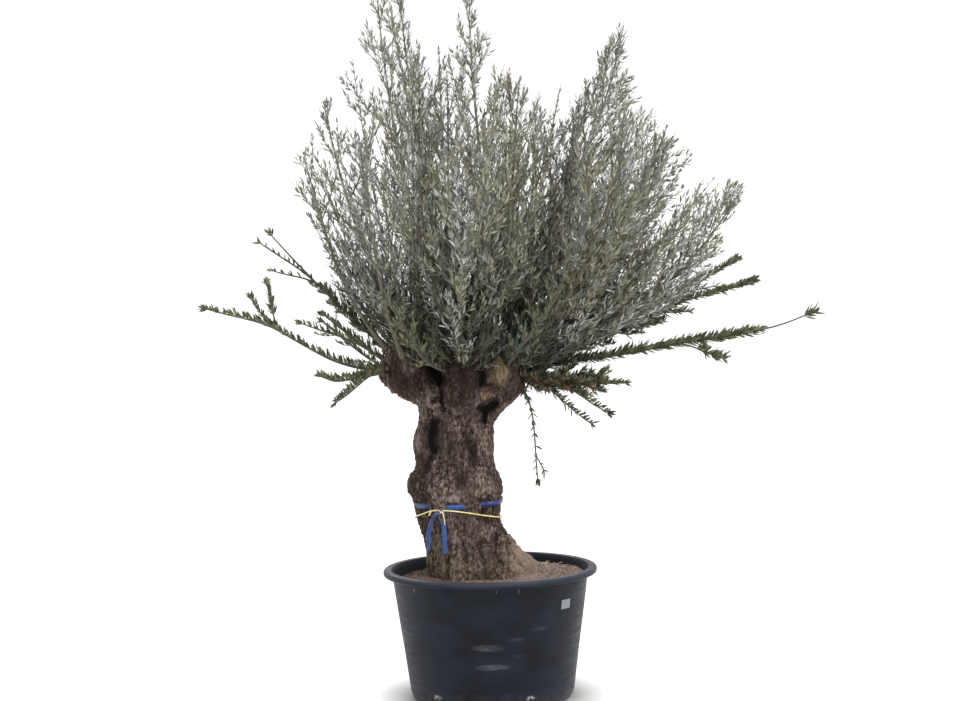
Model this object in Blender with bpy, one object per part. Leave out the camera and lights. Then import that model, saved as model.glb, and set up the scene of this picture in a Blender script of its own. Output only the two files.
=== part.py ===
"""Old olive tree, pruned hard and grown on as a large bonsai, in a round nursery container.

Metres, +Z up. The origin is the middle of the container's flat underside, -Y is the front and +X is
to the right. A short fat trunk ends in four knuckled heads. Long upright shoots rise from the heads
and carry the crown, and thin low sprays reach out to the sides.
"""

import math
from collections import namedtuple

import bmesh
import bpy
import numpy as np
from mathutils import Vector
from mathutils.bvhtree import BVHTree

GAP = 0.0003  # between solids that touch
SEAT_GAP = 0.0005  # how far a support is swollen before a limb is cut to sit on it

# Container: a tapered tub with a turned-out rim
POT_HEIGHT = 0.60
POT_SIDES = 36
FOOT_RADIUS = 0.380
FOOT_BEVEL = 0.015
FLOOR_THICKNESS = 0.012
WALL_THICKNESS = 0.006
WALL_TOP_RADIUS = 0.455
WALL_TOP_HEIGHT = 0.565
RIM_RADIUS = 0.500
RIM_EDGE = 0.010

# Soil: flat under the trunk, lower at the wall and lowest on the left
GROUND = 0.575
SOIL_EDGE = 0.553
SOIL_EDGE_TILT = 0.010
SOIL_FLAT_SHARE = 1.04
SOIL_FIT = 0.0004
SOIL_STEPS = (0.25, 0.6)

# Trunk: what its outline measures from the front at each height
FORK = 1.360
TRUNK_SIDES = 26
TRUNK_RINGS = 17
TRUNK_OUTLINE = (  # height, left edge, right edge
    (GROUND, -0.285, 0.242),
    (0.640, -0.292, 0.186),
    (0.705, -0.298, 0.132),
    (0.770, -0.315, 0.088),
    (0.830, -0.333, 0.058),
    (0.910, -0.358, 0.068),
    (0.990, -0.382, 0.066),
    (1.070, -0.343, 0.044),
    (1.190, -0.339, 0.034),
    (1.290, -0.318, 0.052),
    (FORK, -0.325, 0.112),
)
TRUNK_DEPTH_SHARE = 0.92
FLUTES = ((5, 0.035, 2.2, 0.6), (9, 0.022, -3.0, 2.0))  # lobes, depth, turn per metre, phase
ROOT_LOBES = 6
ROOT_LOBE_DEPTH = 0.07
ROOT_LOBE_HEIGHT = 0.09
HOLLOWS = (  # azimuth in degrees, height, half width, half height, depth
    (-55.0, 1.330, 0.045, 0.075, 0.055),
    (-118.0, 1.220, 0.030, 0.140, 0.035),
    (-72.0, 1.120, 0.022, 0.075, 0.022),
)

# Heads: the old pruning knuckles, each in its own quarter of the fork
HEAD_SIDES = 16
HEAD_RINGS = 7
HEAD_BELLY_SHARE = 0.45
Head = namedtuple("Head", "name foot foot_size belly belly_size top phase")
HEADS = {
    "left": Head("left", (-0.240, 0.0), (0.085, 0.150), (-0.340, 0.0), (0.152, 0.165), 1.69, 0.4),
    "centre": Head("centre", (-0.095, -0.09), (0.120, 0.115), (-0.100, -0.110), (0.122, 0.130), 1.68, 1.9),
    "right": Head("right", (0.025, 0.0), (0.088, 0.145), (0.078, -0.010), (0.124, 0.150), 1.67, 3.1),
    "rear": Head("rear", (-0.095, 0.10), (0.120, 0.110), (-0.090, 0.155), (0.132, 0.140), 1.70, 5.0),
}
LEFT_SPLIT = -0.190  # X of the cleft beside the left head
RIGHT_SPLIT = 0.000  # X of the cleft beside the right head
REAR_SPLIT = 0.020  # Y of the cleft between the middle heads

# Limbs. Azimuth is counted from +X towards +Y, and a limb leaves its head that way.
# A fork is a share of the limb's length and the tip of the side shoot that leaves there.
Limb = namedtuple("Limb", "name head azimuth elevation tip forks")
LEADERS = (
    Limb("top_left", "left", -60, 66, (-0.46, -0.10, 3.285), ()),
    Limb("left_tall", "left", 150, 68, (-0.735, 0.02, 2.815), ()),
    Limb("left_outer", "left", 196, 42, (-0.820, -0.10, 2.540), ()),
    Limb("front_left", "left", -104, 26, (-0.500, -0.78, 2.500), ()),
    Limb("rear_left", "left", 98, 34, (-0.520, 0.80, 2.560), ()),
    Limb("top_inner", "centre", 150, 76, (-0.372, 0.17, 3.330), ()),
    Limb("top_middle", "centre", 20, 70, (-0.035, -0.02, 3.328), ()),
    Limb("front_middle", "centre", -96, 40, (-0.020, -0.90, 2.480), ()),
    Limb("front_inner", "centre", -40, 48, (0.180, -0.42, 2.800), ()),
    Limb("right_outer", "right", 2, 24, (1.240, 0.02, 2.370), ()),
    Limb("right_mid", "right", 8, 52, (0.885, 0.02, 2.660), ()),
    Limb("top_right", "right", 40, 74, (0.700, 0.10, 3.165), ()),
    Limb("front_right", "right", -52, 30, (0.620, -0.74, 2.500), ()),
    Limb("rear_right", "rear", 36, 34, (0.720, 0.72, 2.480), ()),
    Limb("rear_middle", "rear", 86, 36, (0.060, 0.98, 2.620), ()),
    Limb("rear_inner", "rear", 128, 66, (-0.160, 0.50, 3.020), ()),
    Limb("right_inner", "rear", 24, 70, (0.400, 0.34, 2.900), ()),
)
SPRAYS = (
    Limb("far_left", "left", 190, 8, (-1.075, -0.20, 1.915), ((0.62, (-1.285, -0.15, 1.838)),)),
    Limb("short_left", "left", 168, 22, (-0.770, 0.04, 1.810), ((0.55, (-0.870, 0.02, 1.765)),)),
    Limb("low_left", "left", 212, -12, (-0.765, -0.24, 1.520), ((0.25, (-0.685, -0.22, 1.392)),)),
    Limb("upper_left", "left", 158, 42, (-1.055, 0.20, 2.235), ((0.66, (-1.010, 0.10, 2.020)),)),
    Limb("far_right", "right", -4, 0, (1.565, -0.10, 1.772), ((0.48, (1.090, -0.16, 1.552)),)),
    Limb(
        "low_right", "right", -30, -6, (0.655, -0.26, 1.452),
        ((0.22, (0.550, -0.30, 1.318)), (0.34, (0.486, -0.14, 1.262))),
    ),
    Limb("right_shelf", "right", 26, 10, (1.335, 0.16, 1.930), ()),
    Limb("right_rear", "right", 58, 16, (1.300, 0.44, 2.060), ()),
    Limb("hanging", "right", -14, -26, (0.232, -0.10, 0.985), ()),
    Limb("front_low_left", "centre", -136, 6, (-0.420, -0.86, 1.860), ()),
    Limb("front_low_right", "right", -84, 14, (0.340, -0.96, 1.900), ()),
    Limb("rear_low_left", "left", 124, 2, (-0.860, 0.66, 1.800), ()),
    Limb("rear_low", "rear", 104, 4, (-0.180, 1.08, 1.860), ()),
    Limb("rear_low_right", "rear", 56, 2, (0.640, 0.92, 1.860), ()),
)
LEADER_UPTURN = 0.75
SPRAY_UPTURN = 0.10
HANGING_TURN = -2.0
START_PULL = 0.38  # of a limb's length, how far it keeps the way it leaves its head
END_PULL = 0.45

BOUGH_SHARE = 0.21  # of a leader's length, before its foliage
BOUGH_RADIUS = 0.0190
STEM_RADIUS = 0.0115
TIP_RADIUS = 0.0035
BOUGH_SIDES = 6
BOUGH_STEPS = 5
STEM_SIDES = 3
STEM_STEP = 0.25
SPRAY_RADIUS = 0.0080
HEAD_SHARE = 0.12  # of a spray's length, inside its head

# Foliage: each pair of twigs is at right angles to the pair below. Leaves are length and width.
NODE_SPACING = 0.240
NODE_START = 0.35
NODE_TURN = 0.5
TWIG_SIDES = 3
TWIG_STEPS = 2
TWIG_RADIUS = 0.0055
TWIG_TIP_RADIUS = 0.0035
TWIG_ANGLE = math.radians(42)
TWIG_LONGEST = 0.34
TWIG_SHORTEST = 0.12
TWIG_SHRINK = 0.75
TWIG_UPTURN = 0.5
TWIG_STAGGER = 0.012
PLUME_START = 0.20
LEAF_SIZE = (0.255, 0.066)
SPRAY_LEAF_SIZE = (0.165, 0.038)
LEAF_THICKNESS = 0.010
LEAF_BELLY = 0.42
LEAF_ANGLE = math.radians(34)
LEAF_TWIST = 0.6
PAIR_STAGGER = 0.006
ROOT_SUNK = 0.012
FOOT_LEAF_RISE = 0.03
END_LEAF_SHARE = 0.8
SPRAY_NODE_SPACING = 0.175
SPRAY_BARE_SHARE = 0.22
CROWN_TOP = 3.335
SPACE_MARGIN = 0.012
LIMB_MARGIN = 0.016
AXIS_SAMPLES = 60

# Tie: a ribbon and a thinner strand knotted round the trunk, with two hanging tails
TIE_HEIGHT = 0.900
TIE_WIDTH = 0.020
TIE_PROUD = 0.0055
TIE_THICKNESS = 0.0040
STRAND_WIDTH = 0.007
STRAND_LOW = 0.826
STRAND_HIGH = 0.876
STRAND_SPREAD = 0.7
KNOT_AZIMUTH = math.radians(-112)
KNOT_HEIGHT = 0.882
KNOT_RADIUS = 0.016
KNOT_SIDES = 5
TAIL_WIDTH = 0.020
TAIL_THICKNESS = 0.003
TAILS = (
    ((0.010, 0.000), (0.014, 0.060), (0.012, 0.190)),
    ((-0.006, 0.000), (-0.034, 0.050), (-0.052, 0.110), (-0.048, 0.185)),
)

# Label: a small blank sticker on the container
LABEL_SIZE = (0.060, 0.004, 0.042)
LABEL_HEIGHT = 0.468
LABEL_AZIMUTH = math.radians(-41.1)
LABEL_PROUD = 0.0028

# Colours as seen, sRGB, with roughness
FINISHES = {
    "pot_plastic": ("#2B3140", 0.55),
    "soil": ("#7B6353", 0.95),
    "bark": ("#5E4F45", 0.90),
    "shoot_bark": ("#6B6A55", 0.80),
    "olive_leaf": ("#66735F", 0.60),
    "ribbon": ("#2F6DB5", 0.45),
    "label_paper": ("#E4E6E8", 0.70),
}


def clear_scene():
    for obj in list(bpy.data.objects):
        bpy.data.objects.remove(obj)


def linear(channel):
    """An sRGB channel from 0 to 1 as linear light."""
    if channel <= 0.04045:
        return channel / 12.92
    return ((channel + 0.055) / 1.055) ** 2.4


def finish(name):
    material = bpy.data.materials.get(name)
    if material is not None:
        return material
    colour, roughness = FINISHES[name]
    material = bpy.data.materials.new(name)
    material.use_nodes = True
    shader = material.node_tree.nodes["Principled BSDF"]
    channels = [linear(int(colour[i : i + 2], 16) / 255) for i in (1, 3, 5)]
    shader.inputs["Base Color"].default_value = (*channels, 1.0)
    shader.inputs["Roughness"].default_value = roughness
    return material


def new_object(name, mesh, finish_name, collection=None):
    obj = bpy.data.objects.new(name, mesh)
    mesh.materials.clear()
    mesh.materials.append(finish(finish_name))
    (collection or bpy.context.scene.collection).objects.link(obj)
    return obj


def object_from(name, vertices, faces, finish_name, collection=None):
    """A closed mesh with its faces turned outwards."""
    mesh = bpy.data.meshes.new(name)
    mesh.from_pydata([tuple(v) for v in vertices], [], faces)
    solid = bmesh.new()
    solid.from_mesh(mesh)
    bmesh.ops.recalc_face_normals(solid, faces=solid.faces)
    solid.to_mesh(mesh)
    solid.free()
    return new_object(name, mesh, finish_name, collection)


def triangulate(obj):
    """Fixes how bent quads are split, so that a seat cut from this shape fits it everywhere."""
    solid = bmesh.new()
    solid.from_mesh(obj.data)
    bmesh.ops.triangulate(solid, faces=solid.faces)
    solid.to_mesh(obj.data)
    solid.free()


def smooth(obj, angle=math.radians(35)):
    obj.data.shade_smooth()
    obj.data.set_sharp_from_angle(angle=angle)


def ring_faces(rings, sides, start=0):
    """Quads between consecutive rings of the same number of points."""
    faces = []
    for ring in range(rings - 1):
        low = start + ring * sides
        for i in range(sides):
            j = (i + 1) % sides
            faces.append((low + i, low + j, low + sides + j, low + sides + i))
    return faces


def lathe(profile, sides):
    """Turns a profile of (radius, height) whose first and last points lie on the axis."""
    angles = [2 * math.pi * i / sides for i in range(sides)]
    inner = profile[1:-1]
    vertices = [(r * math.cos(a), r * math.sin(a), z) for r, z in inner for a in angles]
    faces = ring_faces(len(inner), sides)
    for point, ring in ((profile[0], 0), (profile[-1], len(inner) - 1)):
        pole = len(vertices)
        vertices.append((0.0, 0.0, point[1]))
        low = ring * sides
        faces += [(pole, low + i, low + (i + 1) % sides) for i in range(sides)]
    return vertices, faces


def wall_radius(height, inside=False):
    """Radius of the container's tapered wall."""
    share = (height - FOOT_BEVEL) / (WALL_TOP_HEIGHT - FOOT_BEVEL)
    radius = FOOT_RADIUS + (WALL_TOP_RADIUS - FOOT_RADIUS) * share
    return radius - WALL_THICKNESS if inside else radius


def make_pot():
    inner_top = WALL_TOP_RADIUS + 0.007
    profile = (
        (0.0, 0.0),
        (FOOT_RADIUS - FOOT_BEVEL, 0.0),
        (FOOT_RADIUS, FOOT_BEVEL),
        (WALL_TOP_RADIUS, WALL_TOP_HEIGHT),
        (RIM_RADIUS - RIM_EDGE, WALL_TOP_HEIGHT - 0.004),
        (RIM_RADIUS, WALL_TOP_HEIGHT + 0.006),
        (RIM_RADIUS, POT_HEIGHT - RIM_EDGE),
        (RIM_RADIUS - RIM_EDGE, POT_HEIGHT),
        (inner_top, POT_HEIGHT),
        (wall_radius(WALL_TOP_HEIGHT + 0.012, inside=True), WALL_TOP_HEIGHT + 0.012),
        (wall_radius(FLOOR_THICKNESS, inside=True), FLOOR_THICKNESS),
        (0.0, FLOOR_THICKNESS),
    )
    pot = object_from("pot", *lathe(profile, POT_SIDES), "pot_plastic")
    smooth(pot)
    return pot


def outline_at(height, column):
    """The trunk's left or right edge at any height, by a Catmull-Rom curve through the outline."""
    rows = np.array(TRUNK_OUTLINE)
    z, x = rows[:, 0], rows[:, column]
    slope = np.gradient(x, z)
    i = int(np.clip(np.searchsorted(z, height) - 1, 0, len(z) - 2))
    width = z[i + 1] - z[i]
    t = (height - z[i]) / width
    return (
        (2 * t**3 - 3 * t**2 + 1) * x[i]
        + (t**3 - 2 * t**2 + t) * width * slope[i]
        + (3 * t**2 - 2 * t**3) * x[i + 1]
        + (t**3 - t**2) * width * slope[i + 1]
    )


def angle_from(angle, azimuth):
    """The turn from an azimuth to an angle, between minus and plus half a circle."""
    return (angle - azimuth + math.pi) % (2 * math.pi) - math.pi


def trunk_point(angle, height, proud=0.0):
    """A point on the bark, or proud of it: an ellipse in plan with flutes, root lobes and hollows."""
    left, right = outline_at(height, 1), outline_at(height, 2)
    middle, half = (left + right) / 2, (right - left) / 2
    share = 1.0
    for lobes, depth, turn, phase in FLUTES:
        share += depth * math.cos(lobes * angle + turn * height + phase)
    fade = math.exp(-(height - GROUND) / ROOT_LOBE_HEIGHT)
    share += ROOT_LOBE_DEPTH * fade * math.cos(ROOT_LOBES * angle + 0.5)
    reach = half * share + proud
    for azimuth, middle_height, half_width, half_height, depth in HOLLOWS:
        aside = angle_from(angle, math.radians(azimuth)) * half / half_width
        along = (height - middle_height) / half_height
        reach -= depth * math.exp(-(aside**2) - along**2)
    return (
        middle + reach * math.cos(angle),
        TRUNK_DEPTH_SHARE * reach * math.sin(angle),
        height,
    )


def trunk_ring(height, sides=TRUNK_SIDES):
    return [trunk_point(2 * math.pi * i / sides, height) for i in range(sides)]


def make_soil():
    angles = [2 * math.pi * i / POT_SIDES for i in range(POT_SIDES)]
    foot = trunk_ring(GROUND, POT_SIDES)

    def wall_ring(height_of):
        ring = []
        for angle in angles:
            height = height_of(angle)
            radius = wall_radius(height, inside=True) - SOIL_FIT
            ring.append((radius * math.cos(angle), radius * math.sin(angle), height))
        return ring

    floor = wall_ring(lambda angle: FLOOR_THICKNESS + GAP)
    edge = wall_ring(lambda angle: SOIL_EDGE + SOIL_EDGE_TILT * math.cos(angle))
    seat = [(x * SOIL_FLAT_SHARE, y * SOIL_FLAT_SHARE, GROUND) for x, y, z in foot]
    rings = [floor, edge]
    for share in reversed(SOIL_STEPS):
        drop = share * share * (3 - 2 * share)
        ring = []
        for (x0, y0, z0), (x1, y1, z1) in zip(seat, edge):
            ring.append((x0 + (x1 - x0) * share, y0 + (y1 - y0) * share, z0 + (z1 - z0) * drop))
        rings.append(ring)
    rings.append(seat)
    vertices = [point for ring in rings for point in ring]
    faces = ring_faces(len(rings), POT_SIDES)
    for height, low in ((FLOOR_THICKNESS + GAP, 0), (GROUND, (len(rings) - 1) * POT_SIDES)):
        pole = len(vertices)
        vertices.append((0.0, 0.0, height))
        faces += [(pole, low + i, low + (i + 1) % POT_SIDES) for i in range(POT_SIDES)]
    soil = object_from("soil", vertices, faces, "soil")
    smooth(soil)
    return soil


def make_trunk():
    heights = np.linspace(GROUND + GAP, FORK, TRUNK_RINGS)
    vertices = [point for height in heights for point in trunk_ring(height)]
    faces = ring_faces(TRUNK_RINGS, TRUNK_SIDES)
    faces.append(tuple(range(TRUNK_SIDES)))
    top = (TRUNK_RINGS - 1) * TRUNK_SIDES
    faces.append(tuple(range(top, top + TRUNK_SIDES)))
    trunk = object_from("trunk", vertices, faces, "bark")
    triangulate(trunk)
    smooth(trunk)
    return trunk


def head_rings(head):
    """Rings that swing quickly from the head's foot out to its belly and close in a dome."""
    bottom = FORK + GAP
    for ring in range(HEAD_RINGS):
        u = ring / HEAD_RINGS
        swing = math.sin(math.pi / 2 * min(u / HEAD_BELLY_SHARE, 1.0))
        dome = max(u - HEAD_BELLY_SHARE, 0.0) / (1 - HEAD_BELLY_SHARE)
        close = math.sqrt(1 - dome * dome)
        centre = [a + (b - a) * swing for a, b in zip(head.foot, head.belly)]
        size = [(a + (b - a) * swing) * close for a, b in zip(head.foot_size, head.belly_size)]
        points = []
        for i in range(HEAD_SIDES):
            angle = 2 * math.pi * i / HEAD_SIDES
            knob = 1 + 0.05 * math.cos(4 * angle + head.phase) + 0.04 * math.cos(7 * angle - 9 * u)
            points.append(
                (
                    centre[0] + size[0] * knob * math.cos(angle),
                    centre[1] + size[1] * knob * math.sin(angle),
                    bottom + (head.top - bottom) * u,
                )
            )
        yield points


def head_centre(head):
    """The middle of the head's belly, which its limbs fan out from."""
    return Vector((*head.belly, FORK + (head.top - FORK) * HEAD_BELLY_SHARE))


def split_planes(head_name):
    """A point and the outward normal of each cleft that bounds a head."""
    left = (Vector((LEFT_SPLIT, 0, 0)), Vector((1, 0, 0)))
    right = (Vector((RIGHT_SPLIT, 0, 0)), Vector((-1, 0, 0)))
    rear = (Vector((0, REAR_SPLIT, 0)), Vector((0, 1, 0)))
    beside_left = (left[0], -left[1])
    beside_right = (right[0], -right[1])
    return {
        "left": [left],
        "right": [right],
        "centre": [beside_left, beside_right, rear],
        "rear": [beside_left, beside_right, (rear[0], -rear[1])],
    }[head_name]


def make_head(head):
    rings = list(head_rings(head))
    vertices = [point for ring in rings for point in ring]
    faces = ring_faces(len(rings), HEAD_SIDES)
    faces.append(tuple(range(HEAD_SIDES)))
    pole = len(vertices)
    vertices.append((*head.belly, head.top))
    last = (len(rings) - 1) * HEAD_SIDES
    faces += [(pole, last + i, last + (i + 1) % HEAD_SIDES) for i in range(HEAD_SIDES)]
    obj = object_from(f"head_{head.name}", vertices, faces, "bark")
    solid = bmesh.new()
    solid.from_mesh(obj.data)
    for point, normal in split_planes(head.name):
        geometry = solid.verts[:] + solid.edges[:] + solid.faces[:]
        cut = bmesh.ops.bisect_plane(
            solid,
            geom=geometry,
            plane_co=point - normal * GAP / 2,
            plane_no=normal,
            clear_outer=True,
            dist=1e-6,
        )
        rim = [item for item in cut["geom_cut"] if isinstance(item, bmesh.types.BMEdge)]
        if rim:
            bmesh.ops.edgeloop_fill(solid, edges=rim)
    bmesh.ops.recalc_face_normals(solid, faces=solid.faces)
    solid.to_mesh(obj.data)
    solid.free()
    triangulate(obj)
    smooth(obj)
    return obj


def heading(azimuth, elevation):
    a, e = math.radians(azimuth), math.radians(elevation)
    return Vector((math.cos(e) * math.cos(a), math.cos(e) * math.sin(a), math.sin(e)))


def hermite(start, start_way, end, end_way, steps):
    """Points on a cubic curve that leaves and arrives along the two ways."""
    length = (end - start).length
    a, b = start_way * length * START_PULL * 3, end_way * length * END_PULL * 3
    points = []
    for i in range(steps + 1):
        t = i / steps
        points.append(
            (2 * t**3 - 3 * t**2 + 1) * start
            + (t**3 - 2 * t**2 + t) * a
            + (3 * t**2 - 2 * t**3) * end
            + (t**3 - t**2) * b
        )
    return points


def limb_path(limb, upturn, steps=AXIS_SAMPLES):
    """A limb's curve, from inside its head to its tip, turned up or down at the end."""
    start = head_centre(HEADS[limb.head])
    tip = Vector(limb.tip)
    onward = (tip - start).normalized()
    arrival = (onward + Vector((0, 0, upturn))).normalized()
    return hermite(start, heading(limb.azimuth, limb.elevation), tip, arrival, steps)


def fork_path(path, share, tip):
    """A side shoot's curve, from a share of the way along its limb to its own tip."""
    i = int(share * (len(path) - 1))
    start, way = path[i], (path[i + 1] - path[i]).normalized()
    tip = Vector(tip)
    return hermite(start, way, tip, (tip - start).normalized(), AXIS_SAMPLES // 2)


def resample(path, first, last, count):
    """count + 1 points at even steps of length between two shares of a path."""
    points = np.array(path)
    run = np.concatenate([[0.0], np.cumsum(np.linalg.norm(np.diff(points, axis=0), axis=1))])
    wanted = np.linspace(first * run[-1], last * run[-1], count + 1)
    return [Vector([np.interp(w, run, points[:, k]) for k in range(3)]) for w in wanted]


def path_length(path):
    return sum((b - a).length for a, b in zip(path, path[1:]))


def way_at(path, share):
    """The direction of a path at a share of its length."""
    before, after = resample(path, max(share - 0.01, 0.0), min(share + 0.01, 1.0), 1)
    return (after - before).normalized()


def across(way):
    """Two unit vectors square to a way and to each other."""
    side = way.cross(Vector((0, 0, 1)))
    if side.length < 0.05:
        side = way.cross(Vector((0, 1, 0)))
    side.normalize()
    return side, way.cross(side).normalized()


def tube(points, radii, sides, first_way=None, last_way=None):
    """A tapering tube, whose flat ends are square to its path or to the ways given."""
    ways = [(b - a).normalized() for a, b in zip(points, points[1:])]
    ways = [first_way or ways[0], *ways, last_way or ways[-1]]
    side = across(ways[0])[0]
    vertices = []
    for i, (point, radius) in enumerate(zip(points, radii)):
        before, after = ways[i], ways[i + 1]
        if i == 0:
            after = before
        if i == len(points) - 1:
            before = after
        way = (before + after).normalized()
        side = (side - way * side.dot(way)).normalized()
        other = way.cross(side)
        for k in range(sides):
            angle = 2 * math.pi * k / sides
            vertices.append(point + (side * math.cos(angle) + other * math.sin(angle)) * radius)
    faces = ring_faces(len(points), sides)
    last = (len(points) - 1) * sides
    faces.append(tuple(range(sides)))
    faces.append(tuple(range(last, last + sides)))
    return vertices, faces


def swollen(obj, by):
    """A hidden copy of a solid, larger by a hair, which cuts a seat in what stands on it."""
    solid = bmesh.new()
    solid.from_mesh(obj.data)
    solid.normal_update()
    moves = [(v, v.normal * by) for v in solid.verts]
    for vertex, move in moves:
        vertex.co += move
    mesh = bpy.data.meshes.new(f"{obj.name}_cutter")
    solid.to_mesh(mesh)
    solid.free()
    cutter = new_object(f"{obj.name}_cutter", mesh, "bark")
    cutter.hide_render = True
    cutter.display_type = "WIRE"
    return cutter


def apply_modifiers(obj):
    depsgraph = bpy.context.evaluated_depsgraph_get()
    mesh = bpy.data.meshes.new_from_object(obj.evaluated_get(depsgraph))
    obj.modifiers.clear()
    obj.data = mesh


def keep_main_body(obj):
    """Drops the loose scraps and the sealed hollows that a Boolean can leave."""
    solid = bmesh.new()
    solid.from_mesh(obj.data)
    bmesh.ops.triangulate(solid, faces=solid.faces)
    left = set(solid.faces)
    bodies = []
    while left:
        seed = left.pop()
        body, queue = {seed}, [seed]
        while queue:
            for edge in queue.pop().edges:
                for face in edge.link_faces:
                    if face in left:
                        left.discard(face)
                        body.add(face)
                        queue.append(face)
        bodies.append(body)

    def volume(body):
        corners = [[v.co for v in face.verts] for face in body]
        return sum(a.dot(b.cross(c)) for a, b, c in corners) / 6

    main = max(bodies, key=volume)
    for body in bodies:
        if body is not main:
            bmesh.ops.delete(solid, geom=list(body), context="FACES")
    loose = [v for v in solid.verts if not v.link_faces]
    bmesh.ops.delete(solid, geom=loose, context="VERTS")
    solid.to_mesh(obj.data)
    solid.free()


def parts_collection(name):
    """Holds the pieces that are to be fused with one solid."""
    parts = bpy.data.collections.new(f"{name}_parts")
    bpy.context.scene.collection.children.link(parts)
    return parts


def fuse(obj, parts):
    """One union of a solid with everything in the collection, which is then removed."""
    join = obj.modifiers.new("join", "BOOLEAN")
    join.operation = "UNION"
    join.solver = "EXACT"
    join.operand_type = "COLLECTION"
    join.collection = parts
    apply_modifiers(obj)
    for part in list(parts.objects):
        bpy.data.objects.remove(part)
    bpy.data.collections.remove(parts)
    keep_main_body(obj)


def seat_on(obj, support):
    """Cuts a limb where it enters its support, so that it sits on it a hair clear."""
    cutter = swollen(support, SEAT_GAP)
    cut = obj.modifiers.new("seat", "BOOLEAN")
    cut.operation = "DIFFERENCE"
    cut.solver = "EXACT"
    cut.object = cutter
    apply_modifiers(obj)
    bpy.data.objects.remove(cutter)
    keep_main_body(obj)


def make_bough(limb, path, support):
    points = resample(path, 0.0, BOUGH_SHARE, BOUGH_STEPS)
    radii = np.linspace(BOUGH_RADIUS, STEM_RADIUS, len(points))
    shape = tube(points, radii, BOUGH_SIDES, last_way=way_at(path, BOUGH_SHARE))
    bough = object_from(f"bough_{limb.name}", *shape, "shoot_bark")
    seat_on(bough, support)
    smooth(bough)
    return bough


def leaf(root, way, side, size):
    """A keeled leaf of six faces: a point at the root, two edges and a keel, and a pointed tip."""
    length, width = size
    below = way.cross(side).normalized()
    belly = root + way * length * LEAF_BELLY
    vertices = [
        root,
        belly + side * width / 2,
        belly - side * width / 2,
        belly + below * LEAF_THICKNESS,
        root + way * length,
    ]
    faces = [(0, 2, 1), (0, 1, 3), (0, 3, 2), (4, 1, 2), (4, 3, 1), (4, 2, 3)]
    return vertices, faces


class Space:
    """Keeps each mass of foliage nearer its own stem than any other, and off the limbs."""

    def __init__(self):
        self.stems = {}
        self.limbs = []
        self.solids = []

    def add_stem(self, name, points):
        self.stems.setdefault(name, []).extend(tuple(p) for p in points)

    def add_limb(self, points, radii):
        self.limbs += [(*p, r) for p, r in zip(points, radii)]

    def add_solid(self, obj):
        solid = bmesh.new()
        solid.from_mesh(obj.data)
        self.solids.append(BVHTree.FromBMesh(solid))
        solid.free()

    def settle(self):
        self.arrays = {name: np.array(points) for name, points in self.stems.items()}
        self.limb_array = np.array(self.limbs)

    def allows(self, name, points):
        wanted = np.array([tuple(p) for p in points])
        if wanted[:, 2].max() > CROWN_TOP:
            return False
        own = nearest(wanted, self.arrays[name])
        for other, stem in self.arrays.items():
            if other != name and (nearest(wanted, stem) < own + 2 * SPACE_MARGIN).any():
                return False
        gaps = np.linalg.norm(wanted[:, None] - self.limb_array[None, :, :3], axis=2)
        if (gaps - self.limb_array[:, 3]).min() < LIMB_MARGIN:
            return False
        return all(
            tree.find_nearest(Vector(point))[3] > LIMB_MARGIN
            for tree in self.solids
            for point in wanted
        )


def nearest(points, stem):
    return np.linalg.norm(points[:, None] - stem[None], axis=2).min(axis=1)


def leaf_reach(vertices):
    """The points of a leaf that have to lie in its own space."""
    root, left, right, keel, tip = vertices
    return [left, right, keel, tip, (left + tip) / 2, (right + tip) / 2]


def outward(way, turn):
    """The direction square to a shoot at a turn round it."""
    side, other = across(way)
    return side * math.cos(turn) + other * math.sin(turn)


def leaning(way, out, angle):
    return (way * math.cos(angle) + out * math.sin(angle)).normalized()


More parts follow.
